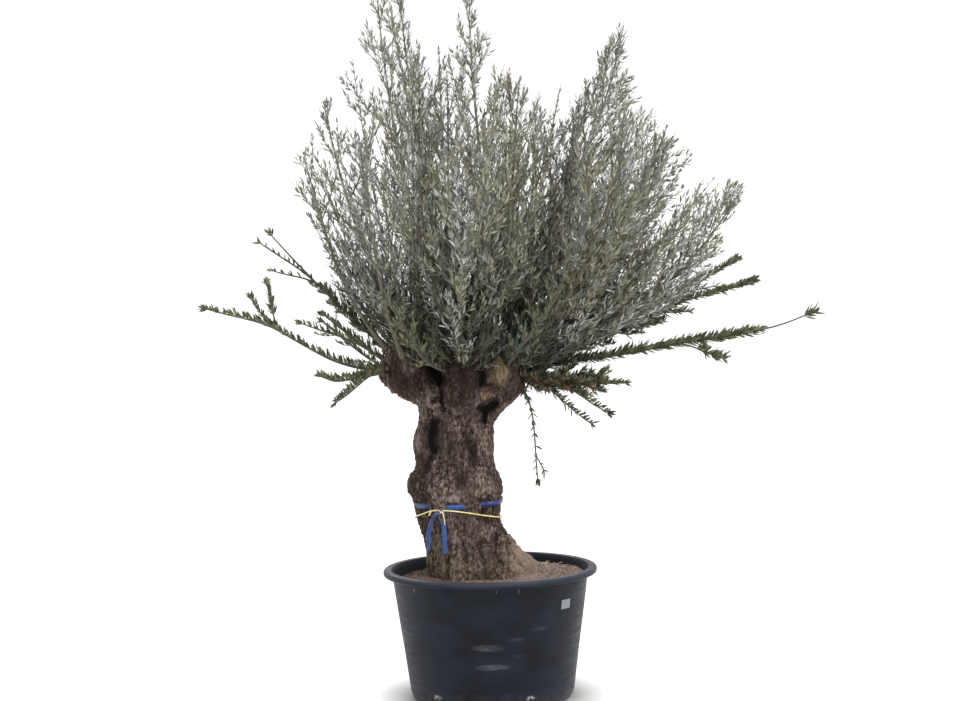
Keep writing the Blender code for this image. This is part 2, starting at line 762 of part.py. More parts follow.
class Foliage:
    """Twigs and leaves collected round one stem, to be fused with it."""

    def __init__(self, name, space, seed):
        self.name = name
        self.space = space
        self.rng = np.random.default_rng(seed)
        self.parts = parts_collection(name)

    def varied(self, value, spread):
        return value * self.rng.uniform(1 - spread, 1 + spread)

    def add(self, shape, finish_name):
        object_from(f"{self.name}_part", *shape, finish_name, self.parts)

    def add_leaf(self, root, way, side, size):
        shape = leaf(root, way, side, size)
        if self.space.allows(self.name, leaf_reach(shape[0])):
            self.add(shape, "olive_leaf")

    def add_leaf_pair(self, root, way, turn, size):
        """Two leaves on opposite sides of a shoot, leaning forwards along it."""
        out = outward(way, turn)
        flat = way.cross(out).normalized()
        for hand in (1, -1):
            leaf_way = leaning(way, out * hand, self.varied(LEAF_ANGLE, 0.2))
            twist = self.rng.uniform(-LEAF_TWIST, LEAF_TWIST)
            side = flat * math.cos(twist) + flat.cross(leaf_way) * math.sin(twist)
            length, width = size
            start = root + way * PAIR_STAGGER * hand
            self.add_leaf(start, leaf_way, side.normalized(), (self.varied(length, 0.12), width))

    def add_end_leaf(self, points, tip, width):
        """The last leaf of a shoot, from a little inside its end to the tip."""
        way = (points[-1] - points[-2]).normalized()
        root = points[-1] - way * ROOT_SUNK
        reach = tip - root
        self.add_leaf(root, reach.normalized(), across(way)[0], (reach.length, width))

    def add_twig(self, root, way, length):
        """A curved twig with a pair of leaves and an end leaf, shortened until it fits its space."""
        bend = (way + Vector((0, 0, TWIG_UPTURN))).normalized()
        onward = (way + bend).normalized()
        while length > TWIG_SHORTEST:
            points = hermite(root, way, root + onward * length, bend, TWIG_STEPS)
            if self.space.allows(self.name, points[1:]):
                break
            length *= TWIG_SHRINK
        else:
            return
        radii = np.linspace(TWIG_RADIUS, TWIG_TIP_RADIUS, len(points))
        self.add(tube(points, radii, TWIG_SIDES), "shoot_bark")
        turn = self.rng.uniform(0, math.pi)
        self.add_leaf_pair(points[1], onward, turn, LEAF_SIZE)
        end_way = (points[-1] - points[-2]).normalized()
        self.add_end_leaf(points, points[-1] + end_way * LEAF_SIZE[0], LEAF_SIZE[1])

    def add_twig_pair(self, root, way, turn, length):
        out = outward(way, turn)
        for hand in (1, -1):
            twig_way = leaning(way, out * hand, self.varied(TWIG_ANGLE, 0.2))
            self.add_twig(root + way * TWIG_STAGGER * hand, twig_way, self.varied(length, 0.12))


def plume_reach(share):
    """How long twigs are along a stem: longest below the middle, short at the foot and the tip."""
    swell = math.sin(math.pi * (PLUME_START + (1 - PLUME_START) * share))
    return TWIG_SHORTEST + (TWIG_LONGEST - TWIG_SHORTEST) * swell


def make_mass(limb, path, space, seed):
    """A leader's foliage: its stem from the bough's tip on, with pairs of twigs along it."""
    name = f"foliage_{limb.name}"
    length = path_length(path)
    first = BOUGH_SHARE + GAP / length
    last = 1 - END_LEAF_SHARE * LEAF_SIZE[0] / length
    points = resample(path, first, last, round(length / STEM_STEP))
    radii = np.linspace(STEM_RADIUS, TIP_RADIUS, len(points))
    first_way = way_at(path, BOUGH_SHARE)
    stem = object_from(name, *tube(points, radii, STEM_SIDES, first_way), "shoot_bark")
    foliage = Foliage(name, space, seed)
    foliage.add_leaf_pair(points[0] + first_way * FOOT_LEAF_RISE, first_way, seed, LEAF_SIZE)
    nodes = round(path_length(points) / NODE_SPACING)
    for node in range(nodes):
        share = (node + NODE_START) / nodes
        root = resample(points, share, share, 1)[0]
        turn = seed + node * math.pi / 2 + foliage.rng.uniform(-NODE_TURN, NODE_TURN)
        foliage.add_twig_pair(root, way_at(points, share), turn, plume_reach(share))
    top_size = [END_LEAF_SHARE * value for value in LEAF_SIZE]
    foliage.add_leaf_pair(points[-2].lerp(points[-1], 0.6), way_at(points, 1.0), seed, top_size)
    foliage.add_end_leaf(points, path[-1], top_size[1])
    fuse(stem, foliage.parts)
    return stem


def make_spray(limb, shoots, support, space, seed):
    """A thin low shoot from a head, with leaves in pairs along it and along its side shoots."""
    name = f"spray_{limb.name}"
    foliage = Foliage(name, space, seed)
    stem = None
    for shoot in shoots:
        length = path_length(shoot)
        last = 1 - END_LEAF_SHARE * SPRAY_LEAF_SIZE[0] / length
        points = resample(shoot, 0.0, last, max(3, round(length / STEM_STEP)))
        radii = np.linspace(TWIG_RADIUS if stem else SPRAY_RADIUS, TIP_RADIUS, len(points))
        shape = tube(points, radii, STEM_SIDES)
        if stem:
            foliage.add(shape, "shoot_bark")
        else:
            stem = object_from(name, *shape, "shoot_bark")
        nodes = int(length / SPRAY_NODE_SPACING)
        for node in range(nodes):
            share = SPRAY_BARE_SHARE + (1 - SPRAY_BARE_SHARE) * (node + NODE_START) / nodes
            root = resample(points, share, share, 1)[0]
            turn = node * math.pi / 2 + foliage.rng.uniform(-NODE_TURN, NODE_TURN)
            foliage.add_leaf_pair(root, way_at(points, share), turn, SPRAY_LEAF_SIZE)
        foliage.add_end_leaf(points, shoot[-1], SPRAY_LEAF_SIZE[1])
    fuse(stem, foliage.parts)
    seat_on(stem, support)
    return stem


def band(height_at, width):
    """A closed strip round the trunk, whose middle height changes with the angle."""
    vertices = []
    for i in range(TRUNK_SIDES):
        angle = 2 * math.pi * i / TRUNK_SIDES
        for rise in (-width / 2, width / 2):
            for proud in (TIE_PROUD - TIE_THICKNESS, TIE_PROUD):
                vertices.append(trunk_point(angle, height_at(angle) + rise, proud))
    faces = []
    for i in range(TRUNK_SIDES):
        a, b = 4 * i, 4 * ((i + 1) % TRUNK_SIDES)
        for p, q in ((0, 1), (1, 3), (3, 2), (2, 0)):
            faces.append((a + p, b + p, b + q, a + q))
    return vertices, faces


def strand_height(angle):
    """The yellow strand: highest at the knot and low round the back."""
    turn = angle_from(angle, KNOT_AZIMUTH)
    return STRAND_LOW + (STRAND_HIGH - STRAND_LOW) * math.exp(-((turn / STRAND_SPREAD) ** 2))


def tail(knot, side, out, route):
    """A flat strip that hangs from the knot along a route of (sideways, downwards) steps."""
    vertices = []
    for sideways, down in route:
        middle = knot + side * sideways - Vector((0, 0, down))
        for i, j in ((-1, -1), (1, -1), (1, 1), (-1, 1)):
            vertices.append(middle + side * TAIL_WIDTH * i / 2 + out * TAIL_THICKNESS * j / 2)
    faces = ring_faces(len(route), 4)
    last = 4 * (len(route) - 1)
    faces += [(0, 1, 2, 3), (last, last + 1, last + 2, last + 3)]
    return vertices, faces


def knot_shape(middle):
    """A small round lump."""
    vertices = []
    for rise in (-0.5, 0.5):
        for i in range(KNOT_SIDES):
            angle = 2 * math.pi * i / KNOT_SIDES
            ring = Vector((math.cos(angle), math.sin(angle), rise)) * KNOT_RADIUS
            vertices.append(middle + ring)
    faces = ring_faces(2, KNOT_SIDES)
    for low, rise in ((0, -1), (KNOT_SIDES, 1)):
        pole = len(vertices)
        vertices.append(middle + Vector((0, 0, rise * KNOT_RADIUS)))
        faces += [(pole, low + i, low + (i + 1) % KNOT_SIDES) for i in range(KNOT_SIDES)]
    return vertices, faces


def make_tie(trunk):
    """A ribbon and a strand round the trunk, knotted in front, with two tails."""
    tie = object_from("tie", *band(lambda angle: TIE_HEIGHT, TIE_WIDTH), "ribbon")
    parts = parts_collection("tie")
    out = Vector((math.cos(KNOT_AZIMUTH), math.sin(KNOT_AZIMUTH), 0.0))
    side = Vector((-out.y, out.x, 0.0))
    knot = Vector(trunk_point(KNOT_AZIMUTH, KNOT_HEIGHT, TIE_PROUD))
    shapes = [band(strand_height, STRAND_WIDTH), knot_shape(knot)]
    shapes += [tail(knot, side, out, route) for route in TAILS]
    for shape in shapes:
        object_from("tie_part", *shape, "ribbon", parts)
    fuse(tie, parts)
    seat_on(tie, trunk)
    return tie


def make_label(pot):
    facing = Vector((math.cos(LABEL_AZIMUTH), math.sin(LABEL_AZIMUTH), 0.0))
    slope = math.atan2(WALL_TOP_RADIUS - FOOT_RADIUS, WALL_TOP_HEIGHT - FOOT_BEVEL)
    up = (Vector((0, 0, 1)) + facing * math.tan(slope)).normalized()
    side = Vector((0, 0, 1)).cross(facing)
    out = side.cross(up).normalized()
    width, depth, height = LABEL_SIZE
    middle = facing * wall_radius(LABEL_HEIGHT) + Vector((0, 0, LABEL_HEIGHT))
    middle += out * (LABEL_PROUD - depth / 2)
    vertices = [
        middle + side * width * i / 2 + out * depth * j / 2 + up * height * k / 2
        for i in (-1, 1)
        for j in (-1, 1)
        for k in (-1, 1)
    ]
    faces = [(0, 1, 3, 2), (4, 6, 7, 5), (0, 4, 5, 1), (2, 3, 7, 6), (0, 2, 6, 4), (1, 5, 7, 3)]
    label = object_from("label", vertices, faces, "label_paper")
    seat_on(label, pot)
    return label


def plan_limbs():
    """Every leader's path, and every spray's paths with its side shoots."""
    leaders = {limb.name: limb_path(limb, LEADER_UPTURN) for limb in LEADERS}
    sprays = {}
    for limb in SPRAYS:
        path = limb_path(limb, HANGING_TURN if limb.name == "hanging" else SPRAY_UPTURN)
        sprays[limb.name] = [path, *(fork_path(path, share, tip) for share, tip in limb.forks)]
    return leaders, sprays


def plan_space(leaders, sprays, solids):
    space = Space()
    for solid in solids:
        space.add_solid(solid)
    for name, path in leaders.items():
        points = resample(path, 0.0, BOUGH_SHARE, AXIS_SAMPLES // 3)
        space.add_limb(points, np.linspace(BOUGH_RADIUS, STEM_RADIUS, len(points)))
        space.add_stem(f"foliage_{name}", resample(path, BOUGH_SHARE, 1.0, AXIS_SAMPLES))
    for name, shoots in sprays.items():
        for shoot in shoots:
            space.add_stem(f"spray_{name}", resample(shoot, HEAD_SHARE, 1.0, AXIS_SAMPLES))
    space.settle()
    return space


def main():
    clear_scene()
    pot = make_pot()
    make_soil()
    trunk = make_trunk()
    heads = {name: make_head(head) for name, head in HEADS.items()}
    make_tie(trunk)
    make_label(pot)
    leaders, sprays = plan_limbs()
    space = plan_space(leaders, sprays, (trunk, *heads.values()))
    for seed, limb in enumerate(LEADERS):
        make_bough(limb, leaders[limb.name], heads[limb.head])
        make_mass(limb, leaders[limb.name], space, seed)
    for seed, limb in enumerate(SPRAYS, start=len(LEADERS)):
        make_spray(limb, sprays[limb.name], heads[limb.head], space, seed)


main()
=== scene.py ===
"""Looks of an old olive tree, pruned hard and grown on as a large bonsai, in a round nursery container.

Metres, +Z up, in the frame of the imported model. The bark, the container and the soil are surfaces
worked out from two parameters. The crown grows on from the limbs by one rule: pairs of side shoots,
each pair at right angles to the pair below, then pairs of twigs on them, then pairs of leaves.
"""

import math
from collections import namedtuple
from functools import partial
from itertools import product

import bpy
import numpy as np
from bpy.props import FloatProperty, FloatVectorProperty, IntProperty, PointerProperty
from mathutils import Matrix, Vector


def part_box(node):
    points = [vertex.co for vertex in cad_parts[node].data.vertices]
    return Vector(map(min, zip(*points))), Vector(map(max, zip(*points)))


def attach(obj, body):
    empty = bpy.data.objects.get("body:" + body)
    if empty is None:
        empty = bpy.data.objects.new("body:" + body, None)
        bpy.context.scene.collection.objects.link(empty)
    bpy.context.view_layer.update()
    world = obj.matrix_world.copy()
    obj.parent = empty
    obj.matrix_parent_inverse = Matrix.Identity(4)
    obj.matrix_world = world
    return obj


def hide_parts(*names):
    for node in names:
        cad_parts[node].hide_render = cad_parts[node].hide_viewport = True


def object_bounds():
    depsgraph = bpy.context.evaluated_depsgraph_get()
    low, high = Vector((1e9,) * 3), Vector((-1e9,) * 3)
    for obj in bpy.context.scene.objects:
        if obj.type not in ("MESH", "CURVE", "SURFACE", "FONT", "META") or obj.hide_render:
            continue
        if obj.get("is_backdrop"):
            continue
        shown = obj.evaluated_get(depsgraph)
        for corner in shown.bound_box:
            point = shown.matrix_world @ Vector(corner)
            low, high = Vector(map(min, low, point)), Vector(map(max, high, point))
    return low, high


bl_info = {
    "name": "Potted Olive Tree",
    "version": (1, 0, 0),
    "blender": (4, 5, 0),
    "location": "3D Viewport > Sidebar > Olive",
    "description": "Bark, crown, soil and container of an old olive grown in a nursery container",
    "category": "Object",
}

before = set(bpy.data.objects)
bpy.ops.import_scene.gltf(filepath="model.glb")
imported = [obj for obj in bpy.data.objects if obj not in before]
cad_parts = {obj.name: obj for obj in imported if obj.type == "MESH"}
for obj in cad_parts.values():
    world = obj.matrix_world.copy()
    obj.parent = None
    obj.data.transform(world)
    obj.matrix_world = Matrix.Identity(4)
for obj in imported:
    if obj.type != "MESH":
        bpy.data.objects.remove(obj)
CAD_LOW, CAD_HIGH = (np.array(corner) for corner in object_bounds())
POT_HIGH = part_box("pot")[1]

UP = np.array((0.0, 0.0, 1.0))
HANDS = np.array((1.0, -1.0))
SHARP_ANGLE = math.radians(40)

# Container: a tapered tub with a turned-out rolled rim
POT_HEIGHT = POT_HIGH[2]
RIM_RADIUS = POT_HIGH[0]
FOOT_RADIUS = 0.380
FOOT_BEVEL = 0.015
FOOT_ROUND = 0.030
FLOOR_THICKNESS = 0.012
WALL_THICKNESS = 0.006
WALL_TOP_RADIUS = 0.459
WALL_TOP_HEIGHT = 0.575
INNER_TOP_RADIUS = 0.462
RIM_ROUND = 0.011
RIM_INNER_ROUND = 0.005
WALL_WOBBLE = 0.0012
POT_SIDES = 180
GUSSET_COUNT = 28
GUSSET_TURN = math.radians(2.0)
GUSSET_SIZE = (0.018, 0.0035, 0.016)  # out from the wall, thickness, down the wall
DRAIN_AZIMUTHS = (-130.0, -64.4, -20.0, 25.0, 70.0, 115.0, 160.0, 195.0)
DRAIN_RADIUS = 0.007
DRAIN_HEIGHT = 0.055
DRAIN_REACH = (-0.045, 0.020)  # of the holes' cutters, inside and outside the foot

# Soil: flat under the trunk, lower at the wall and lowest on the left
GROUND = 0.575
SOIL_EDGE = 0.553
SOIL_EDGE_TILT = 0.010
SOIL_LEVEL_RADIUS = 0.20
SOIL_LUMP = 0.0050
SOIL_CRUMB = 0.0045
SOIL_GRAIN = 0.0025
SOIL_SIDES = 300
SOIL_RINGS = 86
SOIL_MOUND = (0.225, -0.05, 0.040, 0.13)  # x, y, rise, radius of the heap beside the root flare
CLOD_COUNT = 900
STRAW_COUNT = 26
STRAW_REACH = 0.435
STRAW_RADIUS = 0.0011

# Trunk: what its outline measures from the front at each height
FORK = 1.360
TRUNK_OUTLINE = np.array(
    (  # height, left edge, right edge
        (GROUND, -0.285, 0.242),
        (0.640, -0.292, 0.186),
        (0.705, -0.298, 0.132),
        (0.770, -0.315, 0.088),
        (0.830, -0.333, 0.058),
        (0.910, -0.358, 0.068),
        (0.990, -0.382, 0.066),
        (1.070, -0.343, 0.044),
        (1.190, -0.339, 0.034),
        (1.290, -0.318, 0.052),
        (FORK, -0.325, 0.112),
    )
)
TRUNK_DEPTH_SHARE = 0.92
TRUNK_SUNK = 0.02  # in the soil
TRUNK_RISE = 0.11  # over the fork, among the heads
TRUNK_DOME = 0.12
TRUNK_GRID = (200, 220)  # rings, sides
FLUTES = ((5, 0.035, 2.2, 0.6), (9, 0.022, -3.0, 2.0))  # lobes, depth, turn per metre, phase
ROOT_LOBES = 6
ROOT_LOBE_DEPTH = 0.07
ROOT_LOBE_HEIGHT = 0.09
HOLLOWS = (  # azimuth in degrees, height, half width, half height, depth
    (-55.0, 1.330, 0.045, 0.075, 0.055),
    (-118.0, 1.220, 0.030, 0.140, 0.035),
    (-72.0, 1.120, 0.022, 0.075, 0.022),
)

# Heads: the old pruning knuckles
HEAD_BELLY_SHARE = 0.45
Head = namedtuple("Head", "name foot foot_size belly belly_size top phase")
HEADS = (
    Head("left", (-0.240, 0.0), (0.085, 0.150), (-0.340, 0.0), (0.152, 0.165), 1.69, 0.4),
    Head("centre", (-0.095, -0.09), (0.120, 0.115), (-0.100, -0.110), (0.122, 0.130), 1.68, 1.9),
    Head("right", (0.025, 0.0), (0.088, 0.145), (0.078, -0.010), (0.124, 0.150), 1.67, 3.1),
    Head("rear", (-0.095, 0.10), (0.120, 0.110), (-0.090, 0.155), (0.132, 0.140), 1.70, 5.0),
)
HEADS = {head.name: head for head in HEADS}
HEAD_SIDES = 120
HEAD_SKIN = 0.93  # of a head's half sizes, where its limbs come out
BURR_GRID = (12, 20)  # rings, sides of the swellings on the trunk and where limbs come out
BURR_NOISE = 0.22
BURR_SINK = 0.55  # of its radius, under the trunk's surface
LEADER_BURR, SPRAY_BURR = 0.038, 0.021  # radii

# Limbs. Azimuth is counted from +X towards +Y, and a limb leaves its head that way. A fork is a share
# of the limb's length, the tip of the side shoot that leaves there, the distance of its leaves and
# the share of its length where they start.
Limb = namedtuple("Limb", "name head azimuth elevation tip forks", defaults=[()])
LEADERS = (
    Limb("top_left", "left", -60, 66, (-0.46, -0.10, 3.285)),
    Limb("left_tall", "left", 150, 68, (-0.735, 0.02, 2.815)),
    Limb("left_outer", "left", 196, 42, (-0.820, -0.10, 2.540)),
    Limb("front_left", "left", -104, 26, (-0.500, -0.78, 2.500)),
    Limb("rear_left", "left", 98, 34, (-0.520, 0.80, 2.560)),
    Limb("top_inner", "centre", 150, 76, (-0.372, 0.17, 3.330)),
    Limb("top_middle", "centre", 20, 70, (-0.035, -0.02, 3.328)),
    Limb("front_middle", "centre", -96, 40, (-0.020, -0.90, 2.480)),
    Limb("front_inner", "centre", -40, 48, (0.180, -0.42, 2.800)),
    Limb("right_outer", "right", 2, 24, (1.240, 0.02, 2.370)),
    Limb("right_mid", "right", 8, 52, (0.885, 0.02, 2.660)),
    Limb("top_right", "right", 40, 74, (0.700, 0.10, 3.165)),
    Limb("front_right", "right", -52, 30, (0.620, -0.74, 2.500)),
    Limb("rear_right", "rear", 36, 34, (0.720, 0.72, 2.480)),
    Limb("rear_middle", "rear", 86, 36, (0.060, 0.98, 2.620)),
    Limb("rear_inner", "rear", 128, 66, (-0.160, 0.50, 3.020)),
    Limb("right_inner", "rear", 24, 70, (0.400, 0.34, 2.900)),
)
SPRAYS = (
    Limb(
        "far_left", "left", 190, 8, (-1.075, -0.20, 1.915),
        ((0.80, (-1.285, -0.15, 1.838), 0.009, 0.1), (0.80, (-0.985, -0.20, 1.945), 0.006, 0.4)),
    ),
    Limb("short_left", "left", 168, 22, (-0.770, 0.04, 1.810), ((0.45, (-0.870, 0.02, 1.765), 0.016, 0.1),)),
    Limb(
        "low_left", "left", 212, -12, (-0.765, -0.24, 1.520),
        ((0.25, (-0.685, -0.22, 1.392), 0.006, 0.05),),
    ),
    Limb(
        "upper_left", "left", 158, 42, (-1.055, 0.20, 2.235),
        ((0.64, (-1.010, 0.10, 2.020), 0.040, 0.2), (0.66, (-1.075, 0.15, 2.160), 0.028, 0.1)),
    ),
    Limb("far_right", "right", -4, 0, (1.565, -0.10, 1.772), ((0.56, (1.090, -0.16, 1.552), 0.0040, 0.5),)),
    Limb(
        "low_right", "right", -30, -6, (0.655, -0.26, 1.452),
        ((0.34, (0.550, -0.30, 1.318), 0.0075, 0.1), (0.14, (0.486, -0.14, 1.262), 0.0095, 0.1)),
    ),
    Limb(
        "right_shelf", "right", 26, 10, (1.335, 0.16, 1.930),
        ((0.42, (0.817, 0.05, 1.738), 0.020, 0.6), (0.60, (0.982, 0.10, 1.778), 0.008, 0.3)),
    ),
    Limb("right_rear", "right", 58, 16, (1.300, 0.44, 2.060), ((0.72, (1.140, 0.30, 1.905), 0.030, 0.5),)),
    Limb("hanging", "right", -30, -14, (0.232, -0.10, 0.985), ((0.78, (0.262, -0.10, 1.045), 0.020, 0.5),)),
    Limb("front_low_left", "centre", -136, 6, (-0.420, -0.86, 1.860)),
    Limb("front_low_right", "right", -84, 14, (0.340, -0.96, 1.900)),
    Limb("rear_low_left", "left", 124, 2, (-0.860, 0.66, 1.800)),
    Limb("rear_low", "rear", 104, 4, (-0.180, 1.08, 1.860)),
    Limb("rear_low_right", "rear", 56, 2, (0.640, 0.92, 1.860)),
)
SAGS = {  # how far a spray hangs under its curve or stands over it: shares of its length, rises
    "far_left": ((0.0, 0.25, 0.5, 0.8, 0.92, 1.0), (0.0, -0.025, -0.064, -0.092, -0.096, 0.0)),
    "low_left": ((0.0, 0.3, 0.6, 0.85, 1.0), (0.0, 0.036, 0.010, -0.022, 0.0)),
    "far_right": (
        (0.0, 0.2, 0.45, 0.6, 0.7, 0.8, 0.9, 1.0),
        (0.0, 0.042, 0.044, 0.036, 0.014, -0.006, -0.020, 0.0),
    ),
    "right_shelf": ((0.0, 0.3, 0.6, 0.75, 0.87, 1.0), (0.0, 0.030, 0.060, 0.065, 0.030, 0.0)),
}
LEADER_UPTURN = 0.75
SPRAY_UPTURN = 0.10
HANGING_TURN = -2.0
START_PULL = 0.38  # of a limb's length, how far it keeps the way it leaves its head
END_PULL = 0.45
AXIS_SAMPLES = 60

BOUGH_SHARE = 0.21  # of a leader's length, before its foliage
BOUGH_RADIUS = 0.0190
STEM_RADIUS = 0.0100
TIP_RADIUS = 0.0025
SPRAY_RADIUS = 0.0085
SPRAY_TIP_RADIUS = 0.0030
COLLAR_REACH = 0.050  # how far along a bough the swelling at its foot goes
COLLAR_SWELL = 0.9
BOUGH_KNOTS = 0.10

# Crown: side shoots on the leaders, whips and water shoots on the heads, and twigs on all of them
NODE_TURN = 0.5
TWIG_ANGLE = math.radians(37)
TWIG_STAGGER = 0.012
SHOOT_UPTURN = 1.3
TWIG_UPTURN = 0.7
SHOOT_WANDER = 0.08
SHOOT_LONGEST = 0.44
SHOOT_SHORTEST = 0.14
SHOOT_TRIES = 7  # to shorten a shoot until it has room
SHOOT_SHORTENING = 0.82
PLUME_START = 0.20
WHIPS = (  # head, count, azimuths and elevations in degrees, lengths
    ("left", 10, (0, 360), (45, 86), (0.7, 1.8)),
    ("left", 16, (145, 230), (28, 66), (0.25, 0.80)),
    ("centre", 17, (0, 360), (38, 86), (0.7, 1.8)),
    ("right", 16, (0, 360), (38, 86), (0.7, 1.8)),
    ("right", 34, (-38, 34), (8, 52), (0.7, 1.8)),
    ("rear", 18, (0, 360), (38, 86), (0.7, 1.8)),
    ("rear", 16, (-5, 60), (12, 52), (0.7, 1.8)),
)
FULLNESS = {"left": 0.52, "centre": 0.82, "right": 1.16, "rear": 0.86}
WATER_SHOOTS = 26  # on each head
WATER_SHOOT_LENGTH = (0.16, 0.55)
BRUSH_SHOOTS = 60  # on the front of each head
BRUSH_LENGTH = (0.10, 0.30)
BRUSH_AZIMUTHS = {"left": (-215, -50), "centre": (-160, -20), "right": (-140, 35), "rear": (0, 360)}
BRUSH_ELEVATIONS = (18, 75)
BRUSH_LEAVES = (0.0095, (0.034, 0.0085))  # distance of the pairs, size of a leaf
LEAF_ANGLE = math.radians(35)
LEAF_WANDER = 0.09
LEAF_TWIST = 0.6
LEAF_RISE = 0.22
LEAF_GAPS = 0.06  # share of leaves that have dropped
LEAF_SHRINK = 0.35  # how much smaller the last leaves of a shoot are
WHIP_RADII = (0.003, 0.007)  # of the shortest and of the longest at the foot
WATER_RADII = (0.0022, 0.0040)
BRUSH_RADII = (0.0020, 0.0032)
HEAD_SHOOT_TIP = 0.0014
SHOOT_RADII = (0.0038, 0.0013, 0.35)  # foot, tip, the length that has this foot
WHIP_SHOOT_RADII = (0.0024, 0.0011, 0.25)
TWIG_RADII = (0.0018, 0.0009, 0.12)
SPRAY_TWIG_RADII = (0.0026, 0.0014, 0.12)
SPRAY_TWIG_UPTURN = 0.45

# Which way shoots turn: x places and the sideways lean there, and the lean for each metre of y
LEAN_PLACES = (-0.9, -0.3, 0.1, 1.0)
LEAN_SHARES = (-0.20, -0.05, 0.12, 0.75)
LEAN_DEPTH = 0.35

# How far shoots reach: the height of the tips at each x, lower to the front and the back, and at
# each height the left edge, the right edge and the reach to the front and the back
CROWN_TIPS = np.array(
    (
        (-0.88, 2.35), (-0.84, 2.50), (-0.78, 2.68), (-0.66, 2.88), (-0.56, 3.02),
        (-0.48, 3.30), (-0.36, 3.32), (-0.30, 3.05), (-0.12, 3.02), (-0.06, 3.30),
        (0.01, 3.20), (0.10, 2.93), (0.30, 2.82), (0.44, 2.80), (0.54, 2.98),
        (0.68, 3.14), (0.74, 2.85), (0.82, 2.64), (0.98, 2.52), (1.17, 2.40),
        (1.28, 2.28),
    )
)
CROWN_FALL = 0.60
CROWN_EDGES = np.array(
    (
        (1.60, -0.40, 0.40, 0.36), (1.70, -0.50, 0.66, 0.56), (1.77, -0.57, 0.95, 0.68),
        (1.87, -0.67, 1.14, 0.82), (1.97, -0.72, 1.09, 0.92), (2.15, -0.76, 1.13, 0.98),
        (2.28, -0.87, 1.22, 1.02), (2.50, -0.87, 1.20, 1.02), (2.75, -0.80, 0.90, 0.92),
        (3.00, -0.68, 0.78, 0.70), (3.33, -0.56, 0.74, 0.46),
    )
)

# Tie: a ribbon and a thinner strand knotted round the trunk, with two hanging tails
TIE_HEIGHT = 0.900
TIE_WIDTH = 0.024
TIE_PROUD = 0.0055
RIBBON_THICKNESS = 0.0012
TIE_SUNK = 0.022
TIE_RISE = 0.028
TIE_HIDDEN = ((-136, -104), (-80, -50), (-5, 40), (75, 110), (140, 204))  # degrees under the bark
STRAND_LOW = 0.829
STRAND_HIGH = 0.888
STRAND_SPREAD = (0.81, 1.16)  # to the left and to the right of the knot
STRAND_RADIUS = 0.0030
KNOT_AZIMUTH = math.radians(-112)
KNOT_HEIGHT = 0.882
TAIL_WIDTH = 0.024

# Label: a small blank sticker on the container
LABEL_SIZE = (0.060, 0.042)
LABEL_HEIGHT = 0.468
LABEL_AZIMUTH = math.radians(-41.1)

# Camera: level, at the height of a standing person's chest
CAMERA_PLACE = (0.0, -6.58, 1.613)
CAMERA_ROLL = math.radians(-1.35)
CAMERA_LENS = 52.0
LAMP_TARGET = np.array((0.0, 0.0, 1.5))


# Colours and numbers


def linear(colour):
    """An sRGB hex colour as three linear channels."""
    channels = np.array([int(colour[i : i + 2], 16) for i in (1, 3, 5)]) / 255
    lit = np.where(channels <= 0.04045, channels / 12.92, ((channels + 0.055) / 1.055) ** 2.4)
    return tuple(float(channel) for channel in lit)


def colour_property(name, description, colour):
    """A colour setting with an sRGB hex default."""
    return FloatVectorProperty(
        name=name, description=description, default=linear(colour), subtype="COLOR", min=0, max=1
    )


def length_property(name, description, default, low, high):
    """A length setting in metres."""
    return FloatProperty(
        name=name, description=description, default=default, min=low, max=high, unit="LENGTH", precision=4
    )


def unit(vectors):
    """Each vector divided by its length."""
    return vectors / np.linalg.norm(vectors, axis=-1, keepdims=True)


def smoothstep(low, high, value):
    """0 below low, 1 above high, and 3t2 - 2t3 between."""
    t = np.clip((value - low) / (high - low), 0, 1)
    return t * t * (3 - 2 * t)


def hermite_weights(t):
    """Weights of a cubic's start, its slope there, its end and its slope there, at t from 0 to 1."""
    return 2 * t**3 - 3 * t**2 + 1, t**3 - 2 * t**2 + t, 3 * t**2 - 2 * t**3, t**3 - t**2


def hashed(corners, seed):
    """A repeatable random number from -1 to 1 for each whole-numbered point and seed."""
    x, y, z = (corners[:, k].astype(np.uint64) for k in range(3))
    mixed = x * np.uint64(374761393) + y * np.uint64(668265263) + z * np.uint64(2246822519)
    mixed = mixed + np.uint64(seed) * np.uint64(3266489917)
    mixed = (mixed ^ (mixed >> np.uint64(15))) * np.uint64(2654435761)
    mixed = (mixed ^ (mixed >> np.uint64(13))) * np.uint64(1274126177)
    return ((mixed >> np.uint64(16)) & np.uint64(0xFFFF)).astype(float) / 32767.5 - 1


def lattice_noise(points, cell, seed):
    """Smooth noise from -1 to 1: random values at the corners of cubes, blended by 3t2 - 2t3."""
    place = points / np.asarray(cell, float)
    base = np.floor(place)
    part = smoothstep(0, 1, place - base)
    total = np.zeros(len(points))
    for corner in product((0, 1), repeat=3):
        weight = np.prod(np.where(corner, part, 1 - part), axis=1)
        total += weight * hashed((base + corner).astype(np.int64), seed)
    return total


def layered_noise(points, cell, seed, layers=3):
    """Sum of lattice noises, each half as large and half as strong as the one before."""
    total = np.zeros(len(points))
    for layer in range(layers):
        total += 0.5**layer * lattice_noise(points, np.asarray(cell, float) / 2**layer, seed + layer)
    return total / (2 - 0.5 ** (layers - 1))


def cell_edges(points, cell, seed):
    """0 in the cracks between irregular cells, rising inside them: the second nearest of one random
    seed in each cube less the nearest."""
    place = points / np.asarray(cell, float)
    base = np.floor(place)
    first = np.full(len(points), 9.0)
    second = np.full(len(points), 9.0)
    for offset in product((-1, 0, 1), repeat=3):
        corner = (base + offset).astype(np.int64)
        jitter = np.stack([hashed(corner, seed + k) for k in range(3)], axis=1)
        gap = np.linalg.norm(corner + 0.5 + 0.42 * jitter - place, axis=1)
        second = np.minimum(second, np.maximum(first, gap))
        first = np.minimum(first, gap)
    return second - first


# Meshes from whole arrays


